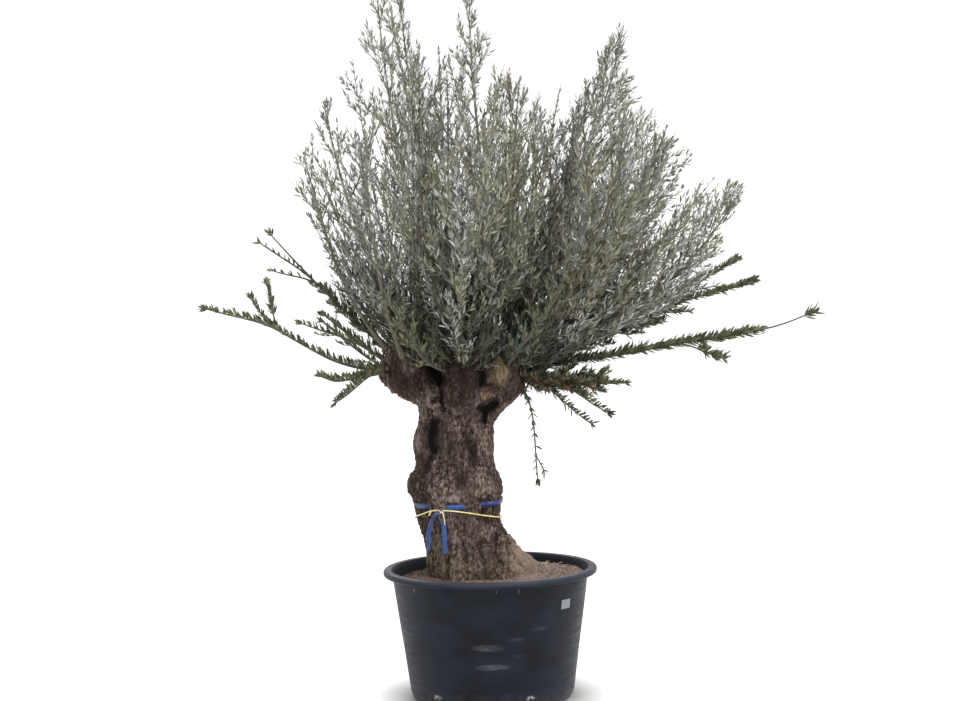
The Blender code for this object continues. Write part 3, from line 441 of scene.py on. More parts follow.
def full_turn(count):
    """Angles at even steps right round a circle."""
    return 2 * np.pi * np.arange(count) / count


def polar(radius, angle, height):
    """Points at a radius and an angle round Z: (r cos a, r sin a, z)."""
    return np.stack(np.broadcast_arrays(radius * np.cos(angle), radius * np.sin(angle), height), axis=-1)


def turned(profile, sides):
    """A profile of (radius, height) turned round Z, as a ring for each of its points."""
    profile = np.array(profile)
    return polar(profile[:, :1], full_turn(sides), profile[:, 1:])


def vectors(items, key):
    """One vector of each vertex of a mesh, as an array (count, 3)."""
    values = np.empty(len(items) * 3, np.float32)
    items.foreach_get(key, values)
    return values.reshape(-1, 3).astype(float)


def new_piece(name, shape, materials, smooth=True):
    """An object at the origin from a shape: an array of points and blocks of faces, each block an
    array with a row for a face."""
    points, blocks = shape
    sizes = np.concatenate([np.full(len(block), block.shape[1]) for block in blocks])
    corners = np.concatenate([block.ravel() for block in blocks])
    mesh = bpy.data.meshes.new(name)
    mesh.vertices.add(len(points))
    mesh.vertices.foreach_set("co", np.asarray(points, np.float32).ravel())
    mesh.loops.add(len(corners))
    mesh.loops.foreach_set("vertex_index", corners.astype(np.int32))
    mesh.polygons.add(len(sizes))
    mesh.polygons.foreach_set("loop_start", (np.cumsum(sizes) - sizes).astype(np.int32))
    mesh.update(calc_edges=True)
    mesh.polygons.foreach_set("use_smooth", np.full(len(sizes), smooth))
    for material in materials:
        mesh.materials.append(material)
    piece = bpy.data.objects.new(name, mesh)
    bpy.context.scene.collection.objects.link(piece)
    return piece


def add_to_tree(piece, slot, *nodes):
    """The piece moves with the tree and stands for the CAD nodes, which are hidden. slot is not used."""
    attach(piece, "root")
    if nodes:
        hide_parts(*nodes)


def grid_faces(rows, columns, closed=True):
    """Quads between neighbouring points of a grid, whose columns can close on themselves."""
    row, column = np.meshgrid(
        np.arange(rows - 1), np.arange(columns if closed else columns - 1), indexing="ij"
    )
    onward = (column + 1) % columns
    low, high = row * columns, (row + 1) * columns
    return np.stack([low + column, low + onward, high + onward, high + column], axis=-1).reshape(-1, 4)


def fan_faces(pole, first, count, flip=False):
    """Triangles from a pole to the ring of count points that starts at first."""
    i = np.arange(count)
    near, far = first + i, first + (i + 1) % count
    if flip:
        near, far = far, near
    return np.stack([np.full(count, pole), near, far], axis=-1)


def repeated(faces, count, size):
    """The faces of count copies of a small shape that has size points."""
    return (faces + (np.arange(count) * size)[:, None, None]).reshape(-1, faces.shape[1])


def closed_surface(rings, low_pole, high_pole):
    """A closed shape from rings of points, rows by columns, and a point at each end."""
    rows, columns = rings.shape[:2]
    points = np.concatenate([rings.reshape(-1, 3), [low_pole], [high_pole]])
    blocks = [
        grid_faces(rows, columns),
        fan_faces(rows * columns, 0, columns, flip=True),
        fan_faces(rows * columns + 1, (rows - 1) * columns, columns),
    ]
    return points, blocks


def joined(shapes):
    """Several shapes of points and face blocks as one."""
    points, blocks, start = [], [], 0
    for shape_points, shape_blocks in shapes:
        points.append(shape_points)
        blocks += [block + start for block in shape_blocks]
        start += len(shape_points)
    return np.concatenate(points), blocks


def apply_modifiers(piece):
    """Replaces the piece's mesh by one with its modifiers applied."""
    depsgraph = bpy.context.evaluated_depsgraph_get()
    mesh = bpy.data.meshes.new_from_object(piece.evaluated_get(depsgraph))
    piece.modifiers.clear()
    piece.data = mesh


def across(way):
    """Two unit vectors square to each way and to each other, by cross products with up, or with +Y
    where the way is upright."""
    side = np.cross(way, UP)
    upright = np.linalg.norm(side, axis=-1) < 0.05
    side[upright] = np.cross(way[upright], (0.0, 1.0, 0.0))
    side = unit(side)
    return side, unit(np.cross(way, side))


def tubes(paths, radii, sides):
    """Tapering tubes round paths (count, points, 3), closed by a point at each end. A path's way at
    a point is from the one before to the one after."""
    count, steps = paths.shape[:2]
    ways = unit(np.gradient(paths, axis=1))
    side = across(ways.mean(axis=1))[0][:, None]
    side = unit(side - ways * (side * ways).sum(axis=2, keepdims=True))
    other = np.cross(ways, side)
    turn = full_turn(sides)
    ring = side[:, :, None] * np.cos(turn)[:, None] + other[:, :, None] * np.sin(turn)[:, None]
    rings = paths[:, :, None] + ring * radii[:, :, None, None]
    points = np.concatenate([rings.reshape(count, -1, 3), paths[:, :1], paths[:, -1:]], axis=1)
    body = steps * sides
    ends = np.concatenate(
        [fan_faces(body, 0, sides, flip=True), fan_faces(body + 1, body - sides, sides)]
    )
    blocks = [repeated(faces, count, body + 2) for faces in (grid_faces(steps, sides), ends)]
    return points.reshape(-1, 3), blocks


# Materials


def rgba(colour):
    """A colour as a socket takes it, from an sRGB hex colour or from linear channels."""
    return (*(linear(colour) if isinstance(colour, str) else tuple(colour)[:3]), 1.0)


def connect(tree, socket, value):
    """Links an input to a socket, or sets it to a number, a vector or a colour."""
    if isinstance(value, bpy.types.NodeSocket):
        tree.links.new(value, socket)
    else:
        socket.default_value = rgba(value) if socket.type == "RGBA" else value


def add_node(tree, kind, *values, inputs=None, output=0, **settings):
    """Adds a node with its settings and its inputs, in order or by key, and gives one output."""
    node = tree.nodes.new("ShaderNode" + kind)
    for name, value in settings.items():
        setattr(node, name, value)
    for key, value in (*enumerate(values), *(inputs or {}).items()):
        connect(tree, node.inputs[key], value)
    return node.outputs[output]


def new_material(name):
    """A material with a plain Principled BSDF, and its node tree."""
    material = bpy.data.materials.new(name)
    material.use_nodes = True
    return material, material.node_tree


def finished(material, colour, bump=None, **inputs):
    """Sets or links the shader's inputs. bump is a height from 0 to 1 and its real distance."""
    tree = material.node_tree
    if bump:
        inputs["Normal"] = add_node(tree, "Bump", inputs={"Height": bump[0], "Distance": bump[1]})
    for name, value in {"Base_Color": colour, **inputs}.items():
        connect(tree, tree.nodes["Principled BSDF"].inputs[name.replace("_", " ")], value)
    return material


def painted(tree, colour, *coats):
    """Coats over a first colour, each a factor and a colour."""
    for factor, coat in coats:
        colours = {0: factor, 6: colour, 7: coat}
        colour = add_node(tree, "Mix", inputs=colours, output=2, data_type="RGBA")
    return colour


def pattern(tree, size, scale=(1, 1, 1), kind="TexNoise", **inputs):
    """A texture with features of about size metres on Object coordinates, drawn out where an axis
    has a scale under 1 and squeezed where it has one over 1."""
    place = add_node(tree, "TexCoord", output="Object")
    mapped = add_node(tree, "Mapping", inputs={"Vector": place, "Scale": scale})
    return add_node(tree, kind, inputs={"Vector": mapped, "Scale": 1 / size, **inputs})


def smudge(tree, centre, size):
    """1 in the middle of an ellipsoid at a place on the object, falling evenly to 0 at its edge."""
    place = add_node(tree, "TexCoord", output="Object")
    scale = [1 / length for length in size]
    offset = [-middle / length for middle, length in zip(centre, size)]
    mapped = add_node(tree, "Mapping", inputs={"Vector": place, "Scale": scale, "Location": offset})
    return add_node(tree, "TexGradient", mapped, output="Fac", gradient_type="SPHERICAL")


SCUFFS_AND_RIB_HIGHLIGHTS = (  # worn belly, painted highlights on the gussets under the rim, chips at the drain holes: centre, half sizes, colour, strength
    ((-0.018, -0.410, 0.303), (0.085, 0.10, 0.018), "#7D7E84", 0.22),
    ((0.002, -0.400, 0.215), (0.085, 0.10, 0.017), "#7D7E84", 0.32),
    ((0.105, -0.400, 0.336), (0.055, 0.10, 0.012), "#7D7E84", 0.10),
    ((0.115, -0.390, 0.262), (0.045, 0.10, 0.011), "#7D7E84", 0.08),
    ((0.210, -0.330, 0.375), (0.060, 0.10, 0.012), "#7D7E84", 0.10),
    # painted highlights where the gussets under the rim catch the light
    ((-0.343, -0.298, 0.545), (0.005, 0.02, 0.016), "#8A8B90", 0.40),
    ((0.025, -0.453, 0.558), (0.005, 0.02, 0.016), "#8A8B90", 0.40),
    ((0.124, -0.436, 0.552), (0.005, 0.02, 0.020), "#8A8B90", 0.35),
    ((-0.247, -0.294, 0.060), (0.024, 0.04, 0.016), "#A9A6A8", 0.95),
    ((0.166, -0.346, 0.060), (0.022, 0.04, 0.016), "#B4B3B8", 0.95),
)


def pot_plastic(settings):
    """Recycled polyethylene, vacuum formed: dull and nearly black with a blue cast, scuffed along the
    belly and dusty at the foot, with painted highlights on the gussets under the rim and along the top of the
    rim."""
    material, tree = new_material("recycled_polyethylene")
    add = partial(add_node, tree)
    cloud = pattern(tree, 0.22, (1, 1, 1.6), Detail=4.0)
    streak = pattern(tree, 0.16, (1, 1, 9), Detail=3.0, Roughness=0.6)
    grime = pattern(tree, 0.05, Detail=5.0)
    scratch = pattern(tree, 0.050, (1, 1, 6), Detail=5.0, Roughness=0.7)
    grain = pattern(tree, 0.004, Detail=2.0)
    height = add("SeparateXYZ", add("TexCoord", output="Object"), output="Z")
    rubbed = add("MapRange", scratch, 0.36, 0.62)
    foot, dusty = add("MapRange", height, 0.0, 0.10, 0.75, 0.0), add("MapRange", grime, 0.35, 0.65)
    coats = [
        (add("MapRange", cloud, 0.35, 0.65), settings.wall_colour),
        (add("MapRange", streak, 0.62, 0.78, 0.0, 0.06), "#5B5E66"),
    ]
    for centre, size, tone, strength in SCUFFS_AND_RIB_HIGHLIGHTS:
        worn = add("Math", smudge(tree, centre, size), rubbed, operation="MULTIPLY")
        coats.append((add("MapRange", worn, 0.0, 0.5, 0.0, strength), tone))
    coats += [
        (add("Math", foot, dusty, operation="MULTIPLY"), "#453C3F"),
        # painted highlight along the top of the rim
        (add("MapRange", height, 0.578, 0.600, 0.0, 0.30), "#585D6A"),
    ]
    colour, dull = painted(tree, "#0C0F17", *coats), add("MapRange", streak, 0.3, 0.8, 0.42, 0.62)
    return finished(material, colour, (grain, 0.0004), Roughness=dull, IOR=1.51, Specular_IOR_Level=0.14)


def soil_material(settings):
    """Dry loamy potting soil: matt crumbs, reddish where damp and paler on top of the crumbs."""
    material, tree = new_material("dry_loam")
    add = partial(add_node, tree)
    crumb = pattern(tree, 0.010, kind="TexVoronoi", Randomness=1.0)
    patch = pattern(tree, 0.09, Detail=5.0)
    fine = pattern(tree, 0.006, Detail=4.0, Roughness=0.7)
    aside = add("SeparateXYZ", add("TexCoord", output="Object"), output="X")
    colour = painted(
        tree,
        "#5A4238",
        (add("MapRange", patch, 0.35, 0.65), settings.soil_colour),
        (add("MapRange", fine, 0.35, 0.7, 0.0, 0.8), "#9C8D83"),
        (add("MapRange", crumb, 0.30, 0.85, 0.0, 0.60), "#33251F"),
        (add("MapRange", aside, 0.05, -0.30, 0.0, 0.55), "#4A362D"),
    )
    return finished(material, colour, (fine, 0.003), Roughness=0.95, Specular_IOR_Level=0.2)


def bark_material(settings):
    """Bark of an old olive: small grey plates with pinkish lichen over dark brown cracks deepened by
    painted shade, mossy at the foot, with bare wood where limbs were cut, painted black shade in the
    clefts and hollows, painted shade in the crotches and down the right side, and painted highlights
    on lit ridges. It reads what build_trunk writes on each vertex."""
    material, tree = new_material("olive_bark")
    add = partial(add_node, tree)
    relief, height, knuckle, scar, hollow = (
        add("Attribute", output="Fac", attribute_name=name) for name in BARK_ATTRIBUTES
    )
    warp = pattern(tree, 0.024, (1, 1, 0.5), Detail=7.0, Roughness=0.80)
    fleck = pattern(tree, 0.010, (1, 1, 0.4), Detail=4.0, Roughness=0.7)
    patch = pattern(tree, 0.13, (1, 1, 0.5), Detail=4.0)
    strands = pattern(tree, 0.009, (1, 1, 0.33), Detail=5.0, Roughness=0.7)
    woven = add("Mix", inputs={0: 0.5, 2: warp, 3: strands}, data_type="FLOAT")
    plate = add("ValToRGB", add("MapRange", woven, 0.38, 0.62))
    wood = add("ValToRGB", pattern(tree, 0.014, (1, 1, 0.2), Detail=4.0))
    for tone, stops in (
        (plate, ((0.0, "#1A120E"), (0.38, "#372A24"), (0.66, "#594B43"), (1.0, "#867972"))),
        (wood, ((0.30, "#4C402F"), (0.50, "#75674F"), (0.75, "#978769"))),
    ):
        elements = tone.node.color_ramp.elements
        while len(elements) < len(stops):
            elements.new(0.5)
        for element, (position, colour) in zip(elements, stops):
            element.position = position
            element.color = rgba(colour)
    light = add("Math", fleck, add("MapRange", relief, 0.15, 0.85, 0.75, 1.03), operation="MULTIPLY")
    mossy = add("Math", add("MapRange", height, 1.0, 0.62), patch, operation="MULTIPLY")
    raw = add("Math", scar, add("MapRange", warp, 0.36, 0.6, 0.05, 1.0), operation="MULTIPLY")
    coats = [
        (add("MapRange", light, 0.45, 0.60, 0.0, 0.9), settings.lichen_colour),
        (add("MapRange", patch, 0.50, 0.40, 0.0, 0.55), "#2A1F19"),
        (add("MapRange", mossy, 0.30, 0.65, 0.0, 0.25), settings.moss_colour),
    ]
    # painted shade and highlights, bare bark and a pale place, each in its own spot
    for centre, size, tone, strength in BARK_SHADE_HIGHLIGHTS_AND_TONES:
        spot = add("MapRange", smudge(tree, centre, size), 0.05, 0.50)
        thread = add("MapRange", woven, 0.35, 0.55, 0.45 * strength, strength)
        coats.append((add("Math", spot, thread, operation="MULTIPLY"), tone))
    coats += [
        # the cracks: dark bark deepened by painted shade where the relief is low
        (add("MapRange", relief, 0.45, 0.10, 0.0, 0.94), settings.crack_and_shade_colour),
        (add("MapRange", knuckle, 0.25, 0.7, 0.0, 0.92), wood),
        (add("MapRange", raw, 0.2, 0.8, 0.0, 0.8), "#8A6C58"),
        # painted black shade in the clefts and hollows of the front
        (add("MapRange", hollow, 0.25, 0.8), "#0B0706"),
    ]
    colour = painted(tree, plate, *coats)
    return finished(material, colour, (warp, 0.010), Roughness=0.92, Specular_IOR_Level=0.2)


def shoot_bark_material(settings):
    """Bark of young olive limbs: smooth, grey-green with pale lenticels."""
    material, tree = new_material("young_olive_bark")
    add = partial(add_node, tree)
    patch = pattern(tree, 0.035, (1, 1, 0.4), Detail=4.0)
    spot = pattern(tree, 0.004, Detail=1.0)
    colour = painted(
        tree,
        "#4C463A",
        (add("MapRange", patch, 0.35, 0.65), settings.bough_colour),
        (add("MapRange", spot, 0.66, 0.72, 0.0, 0.6), "#A39C8C"),
    )
    return finished(material, colour, (patch, 0.0015), Roughness=0.80)


def plain_material(name, colour, roughness):
    """One colour with a given roughness, for the small parts of joined sprays, whose colours are
    dealt out by spray."""
    return finished(new_material(name)[0], colour, Roughness=roughness)


RIBBON_TONES = (  # violet on the right, greyer on the left: centre, half sizes, colour, strength
    ((0.050, -0.140, 0.915), (0.100, 0.20, 0.060), "#25285F", 0.9),
    ((-0.350, -0.060, 0.912), (0.090, 0.20, 0.060), "#434B5E", 0.8),
)


def ribbon_material(name, colour, pale):
    """Flat polypropylene tape: glossy with fine lengthwise threads, bleached by the sun."""
    material, tree = new_material(name)
    add = partial(add_node, tree)
    thread = pattern(tree, 0.002, (1, 1, 0.1), Detail=2.0)
    patch = pattern(tree, 0.030, Detail=3.0)
    coats = [
        (add("MapRange", patch, 0.4, 0.75, 0.0, 0.7), pale),
        (add("MapRange", thread, 0.3, 0.7, 0.0, 0.25), "#1B2C52"),
    ]
    for centre, size, tone, strength in RIBBON_TONES:
        coats.append((add("MapRange", smudge(tree, centre, size), 0.0, 0.4, 0.0, strength), tone))
    return finished(material, painted(tree, colour, *coats), (thread, 0.0004), Roughness=0.42, IOR=1.49)


def strand_material(settings):
    """Polypropylene strand: yellow, bleached cream along its worn stretches."""
    material, tree = new_material("yellow_polypropylene_strand")
    worn = add_node(tree, "MapRange", pattern(tree, 0.040, Detail=3.0), 0.35, 0.65)
    return finished(material, painted(tree, settings.strand_colour, (worn, "#E9DDB4")), Roughness=0.55)


def paper_material(settings):
    """Coated white paper: greyed by dirt, unevenly."""
    material, tree = new_material("coated_label_paper")
    dirt = add_node(tree, "MapRange", pattern(tree, 0.010, Detail=5.0), 0.45, 0.75, 0.0, 0.5)
    return finished(material, painted(tree, settings.label_colour, (dirt, "#5A5E66")), Roughness=0.5)


# Container and soil


def wall_radius(height):
    """Outer radius of the container's tapered wall."""
    share = (height - FOOT_BEVEL) / (WALL_TOP_HEIGHT - FOOT_BEVEL)
    return FOOT_RADIUS + (WALL_TOP_RADIUS - FOOT_RADIUS) * share


SOIL_RADIUS = wall_radius(SOIL_EDGE) - WALL_THICKNESS


def arc(centre, radius, first, last, count):
    """Points (radius, height) on an arc between two angles in degrees."""
    angles = np.radians(np.linspace(first, last, count))
    return [(centre[0] + radius * math.cos(a), centre[1] + radius * math.sin(a)) for a in angles]


def pot_profile():
    """The container's section from the middle of its underside, up outside and down inside."""
    lip = RIM_RADIUS - RIM_ROUND
    inner = INNER_TOP_RADIUS + RIM_INNER_ROUND
    walls = np.linspace(FOOT_ROUND + 0.004, WALL_TOP_HEIGHT - 0.012, 30)
    inner_walls = np.linspace(WALL_TOP_HEIGHT, FLOOR_THICKNESS + 0.008, 12)
    return [
        *((r, 0.0) for r in np.linspace(0.02, FOOT_RADIUS - FOOT_ROUND - 0.01, 8)),
        *arc((FOOT_RADIUS - FOOT_ROUND, FOOT_ROUND), FOOT_ROUND, -90, -4, 9),
        *((wall_radius(z), z) for z in walls),
        *arc((WALL_TOP_RADIUS + 0.010, WALL_TOP_HEIGHT - 0.014), 0.010, 180, 100, 5),
        *arc((lip, WALL_TOP_HEIGHT + 0.007), RIM_ROUND, -90, 0, 6),
        *arc((lip, POT_HEIGHT - RIM_ROUND), RIM_ROUND, 0, 90, 8),
        *((r, POT_HEIGHT) for r in np.linspace(lip - 0.006, inner + 0.004, 3)),
        *arc((inner, POT_HEIGHT - RIM_INNER_ROUND), RIM_INNER_ROUND, 90, 180, 5),
        *((wall_radius(z) - WALL_THICKNESS, z) for z in inner_walls),
        (wall_radius(FLOOR_THICKNESS) - WALL_THICKNESS - 0.010, FLOOR_THICKNESS),
        (0.02, FLOOR_THICKNESS),
    ]


def pot_shape():
    """The container's profile turned round Z, its wall a little uneven: noise on the radius that
    fades out towards the foot and the rim."""
    profile = np.array(pot_profile())
    radius, height = profile[:, :1], profile[:, 1:]
    points = turned(profile, POT_SIDES)
    noise = layered_noise(points.reshape(-1, 3), (0.35, 0.35, 0.22), 11).reshape(points.shape[:2])
    away = smoothstep(0.02, 0.10, height) * smoothstep(WALL_TOP_HEIGHT, WALL_TOP_HEIGHT - 0.10, height)
    points[..., :2] *= (1 + WALL_WOBBLE * noise * away / np.maximum(radius, 0.1))[..., None]
    return closed_surface(points, (0, 0, profile[0, 1]), (0, 0, profile[-1, 1]))


def gussets():
    """Thin triangular webs under the rim: each a wedge with its right angle between wall and rim."""
    reach, thickness, drop = GUSSET_SIZE
    top = WALL_TOP_HEIGHT - 0.002
    wall = np.array((wall_radius(top - drop) - 0.002, wall_radius(top) + reach, wall_radius(top) - 0.002))
    height = np.array((top - drop, top, top))
    out = polar(1.0, GUSSET_TURN + full_turn(GUSSET_COUNT), 0.0)[:, None, None]
    half = (HANDS * thickness / 2)[:, None]
    points = out * wall[:, None, None] + np.cross(UP, out) * half + UP * height[:, None, None]
    sides = (np.array(((0, 2, 4), (1, 5, 3))), np.array(((0, 1, 3, 2), (2, 3, 5, 4), (4, 5, 1, 0))))
    return points.reshape(-1, 3), [repeated(faces, GUSSET_COUNT, 6) for faces in sides]


def drain_cutter():
    """Short cylinders that lie outwards through the wall's foot."""
    out = polar(1.0, np.radians(DRAIN_AZIMUTHS), 0.0)
    reach = FOOT_RADIUS + np.array(DRAIN_REACH)
    paths = out[:, None] * reach[:, None] + UP * DRAIN_HEIGHT
    return tubes(paths, np.full(paths.shape[:2], DRAIN_RADIUS), 16)


def build_pot(settings):
    """The container with its drain holes cut, and the gussets under its rim."""
    plastic = pot_plastic(settings)
    pot = new_piece("container", pot_shape(), [plastic])
    cutter = new_piece("drain_cutter", drain_cutter(), [])
    cut = pot.modifiers.new("drains", "BOOLEAN")
    cut.operation = "DIFFERENCE"
    cut.solver = "EXACT"
    cut.object = cutter
    apply_modifiers(pot)
    bpy.data.objects.remove(cutter)
    pot.data.shade_smooth()
    pot.data.set_sharp_from_angle(angle=SHARP_ANGLE)
    add_to_tree(pot, "pot_plastic", "pot")
    add_to_tree(new_piece("container_gussets", gussets(), [plastic], False), "pot_plastic")


def soil_height(x, y):
    """Height of the soil: level at the trunk, lower towards the wall, with a heap at the flare, and
    crumbs by random cells of two sizes."""
    radius, angle = np.hypot(x, y), np.arctan2(y, x)
    edge = SOIL_EDGE + SOIL_EDGE_TILT * np.cos(angle)
    level = GROUND + (edge - GROUND) * smoothstep(SOIL_LEVEL_RADIUS, SOIL_RADIUS, radius)
    mound_x, mound_y, rise, spread = SOIL_MOUND
    gap = np.hypot(x - mound_x, y - mound_y) / spread
    points = np.stack([x, y, 0 * x], axis=-1).reshape(-1, 3)
    lumps = SOIL_LUMP * layered_noise(points, 0.060, 21, 2)
    crumbs = SOIL_CRUMB * smoothstep(0.0, 0.45, cell_edges(points, 0.016, 31))
    crumbs += SOIL_GRAIN * smoothstep(0.0, 0.5, cell_edges(points, 0.007, 37))
    rough = (lumps + crumbs - SOIL_CRUMB).reshape(np.shape(x))
    return level + rise * np.exp(-(gap**2)) + rough


def on_soil(radius, angle, lift=0.0):
    """Points on the soil, or a little over it."""
    x, y = radius * np.cos(angle), radius * np.sin(angle)
    return np.stack([x, y, soil_height(x, y) + lift], axis=-1)


def soil_shape():
    """The soil's floor, its side and its top, as rings that close in on the middle."""
    angle = full_turn(SOIL_SIDES)
    top = on_soil((SOIL_RADIUS - 0.0004) * np.linspace(1.0, 0.02, SOIL_RINGS)[:, None], angle)
    floor = FLOOR_THICKNESS + 0.0008
    foot = polar(wall_radius(FLOOR_THICKNESS) - WALL_THICKNESS - 0.011, angle, floor)
    return closed_surface(np.concatenate([foot[None], top]), (0, 0, floor), (0, 0, GROUND))


def clods(rng):
    """Loose crumbs on the soil: octahedra of uneven size, half sunk in it."""
    radius = SOIL_RADIUS * np.sqrt(rng.uniform(0.25, 0.95, CLOD_COUNT))
    centre = on_soil(radius, rng.uniform(0, 2 * np.pi, CLOD_COUNT), 0.001)
    size = rng.uniform(0.002, 0.0065, (CLOD_COUNT, 1, 1)) * rng.uniform(0.6, 1.3, (CLOD_COUNT, 6, 1))
    corners = np.array(((1, 0, 0), (0, 1, 0), (-1, 0, 0), (0, -1, 0), (0, 0, 1), (0, 0, -1.0)))
    points = centre[:, None] + corners * size
    faces = np.concatenate([fan_faces(4, 0, 4), fan_faces(5, 0, 4, flip=True)])
    return points.reshape(-1, 3), [repeated(faces, CLOD_COUNT, 6)]


def straws(rng):
    """Dry straw and old leaf stalks lying on the soil, mostly at the back right: paths that rise a
    little in the middle, turned back where they would reach the wall."""
    angle = np.radians(rng.uniform(-20, 110, STRAW_COUNT))
    middle = on_soil(rng.uniform(0.26, 0.42, STRAW_COUNT), angle, 0.006)
    turn = rng.uniform(0, np.pi, STRAW_COUNT)
    half = rng.uniform(0.015, 0.055, STRAW_COUNT)[:, None]
    way = polar(1.0, turn, rng.uniform(-0.05, 0.35, STRAW_COUNT))
    way[np.hypot(*(middle + way * half).T[:2]) > STRAW_REACH] *= -0.3
    steps = np.linspace(-1, 1, 5)
    paths = middle[:, None] + way[:, None] * steps[:, None] * half[:, None]
    paths[..., 2] += 0.006 * (1 - steps**2)
    return tubes(paths, np.full(paths.shape[:2], STRAW_RADIUS), 5)


def build_soil(settings):
    """The soil, the clods on it and the straw."""
    rng = np.random.default_rng(5)
    loam = soil_material(settings)
    add_to_tree(new_piece("soil_surface", soil_shape(), [loam]), "soil", "soil")
    add_to_tree(new_piece("soil_clods", clods(rng), [loam], False), "soil")
    straw = plain_material("dry_straw", "#BDA887", 0.7)
    add_to_tree(new_piece("soil_straw", straws(rng), [straw]), "soil")


# Trunk and heads


def outline_at(height, column):
    """The trunk's left or right edge at any height: a cubic through the outline whose slopes are
    those between each point's neighbours."""
    z, x = TRUNK_OUTLINE[:, 0], TRUNK_OUTLINE[:, column]
    slope = np.gradient(x, z)
    height = np.clip(height, z[0], z[-1])
    i = np.clip(np.searchsorted(z, height) - 1, 0, len(z) - 2)
    width = z[i + 1] - z[i]
    a, b, c, d = hermite_weights((height - z[i]) / width)
    return a * x[i] + b * width * slope[i] + c * x[i + 1] + d * width * slope[i + 1]


def angle_from(angle, azimuth):
    """The turn from an azimuth to an angle, between minus and plus half a circle."""
    return (angle - azimuth + np.pi) % (2 * np.pi) - np.pi


def trunk_surface(angle, height, proud=0.0):
    """Points on the trunk before its bark, or proud of it: in plan an ellipse (m + r cos a,
    0.92 r sin a) whose r waves with flutes and root lobes and dips in the hollows."""
    left, right = outline_at(height, 1), outline_at(height, 2)
    middle, half = (left + right) / 2, (right - left) / 2
    share = 1.0
    for lobes, depth, turn, phase in FLUTES:
        share = share + depth * np.cos(lobes * angle + turn * height + phase)
    fade = np.exp(-(height - GROUND) / ROOT_LOBE_HEIGHT)
    share = share + ROOT_LOBE_DEPTH * fade * np.cos(ROOT_LOBES * angle + 0.5)
    reach = half * share + proud
    for azimuth, middle_height, half_width, half_height, depth in HOLLOWS:
        aside = angle_from(angle, math.radians(azimuth)) * half / half_width
        along = (height - middle_height) / half_height
        reach = reach - depth * np.exp(-(aside**2) - along**2)
    x = middle + reach * np.cos(angle)
    y = TRUNK_DEPTH_SHARE * reach * np.sin(angle)
    return np.stack(np.broadcast_arrays(x, y, height), axis=-1)


def trunk_shape():
    """The trunk as rings from just under the soil to a low dome among the heads, sqrt(1 - h^2)."""
    angle = full_turn(TRUNK_GRID[1])[None]
    height = np.linspace(GROUND - TRUNK_SUNK, FORK + TRUNK_RISE, TRUNK_GRID[0])[:, None]
    rings = trunk_surface(angle, height + 0 * angle)
    rings[..., 2] = height
    dome = np.sqrt(1 - np.clip((height - FORK) / TRUNK_DOME, 0, 0.98) ** 2)
    middle = rings.mean(axis=1, keepdims=True)
    rings[..., :2] = middle[..., :2] + (rings[..., :2] - middle[..., :2]) * dome[..., None]
    return closed_surface(rings, rings[0].mean(axis=0), rings[-1].mean(axis=0))


def head_shape(head):
    """A head as rings that swing from its foot out to its belly, sin(pi/2 min(u / 0.45, 1)), and
    close as a circle does above it, drawn in under its foot, with knobs in waves of 4 and 7."""
    u = np.concatenate([np.linspace(-0.25, 0.9, 40), 1 - 0.1 * np.linspace(0.9, 0.01, 14) ** 2])[:, None]
    angle = full_turn(HEAD_SIDES)[None]
    swing = np.sin(np.pi / 2 * np.clip(u / HEAD_BELLY_SHARE, -0.3, 1))
    dome = np.clip(u - HEAD_BELLY_SHARE, 0, 1) / (1 - HEAD_BELLY_SHARE)
    close = np.sqrt(1 - np.minimum(dome, 1) ** 2)
    foot, foot_size, belly, belly_size = np.array(head[1:5])
    centre = foot + (belly - foot) * swing
    tuck = 0.45 + 0.55 * smoothstep(-0.28, 0.02, u)
    size = (foot_size + (belly_size - foot_size) * swing) * close * tuck
    knob = 1 + 0.05 * np.cos(4 * angle + head.phase) + 0.04 * np.cos(7 * angle - 9 * u)
    x = centre[:, :1] + size[:, :1] * knob * np.cos(angle)
    y = centre[:, 1:] + size[:, 1:] * knob * np.sin(angle)
    rings = np.stack(np.broadcast_arrays(x, y, FORK + (head.top - FORK) * u), axis=-1)
    return closed_surface(rings, rings[0].mean(axis=0), rings[-1].mean(axis=0))


def head_centre(head):
    """The middle of the head's belly, which its limbs fan out from."""
    return np.array((*head.belly, FORK + (head.top - FORK) * HEAD_BELLY_SHARE))


def head_size(head):
    """Half the size of the ellipsoid that a head is, about its centre."""
    return np.array((*head.belly_size, head.top - head_centre(head)[2]))


def head_exit(limb, path):
    """Where a limb comes out of its head."""
    head = HEADS[limb.head]
    outside = np.linalg.norm((path - head_centre(head)) / head_size(head), axis=1) > HEAD_SKIN
    return path[np.argmax(outside)]


def burr_shape(centre, radius, seed):
    """A round swelling: a sphere by latitude and longitude with noise of a fifth of its size."""
    latitude = np.linspace(-1.45, 1.45, BURR_GRID[0])[:, None]
    ring = polar(np.cos(latitude), full_turn(BURR_GRID[1])[None], np.sin(latitude))
    noise = lattice_noise(ring.reshape(-1, 3) + seed, 0.8, seed).reshape(BURR_GRID)
    size = np.broadcast_to(radius, 3)
    rings = centre + ring * size * (1 + BURR_NOISE * noise)[..., None]
    return closed_surface(rings, centre - UP * size, centre + UP * size)


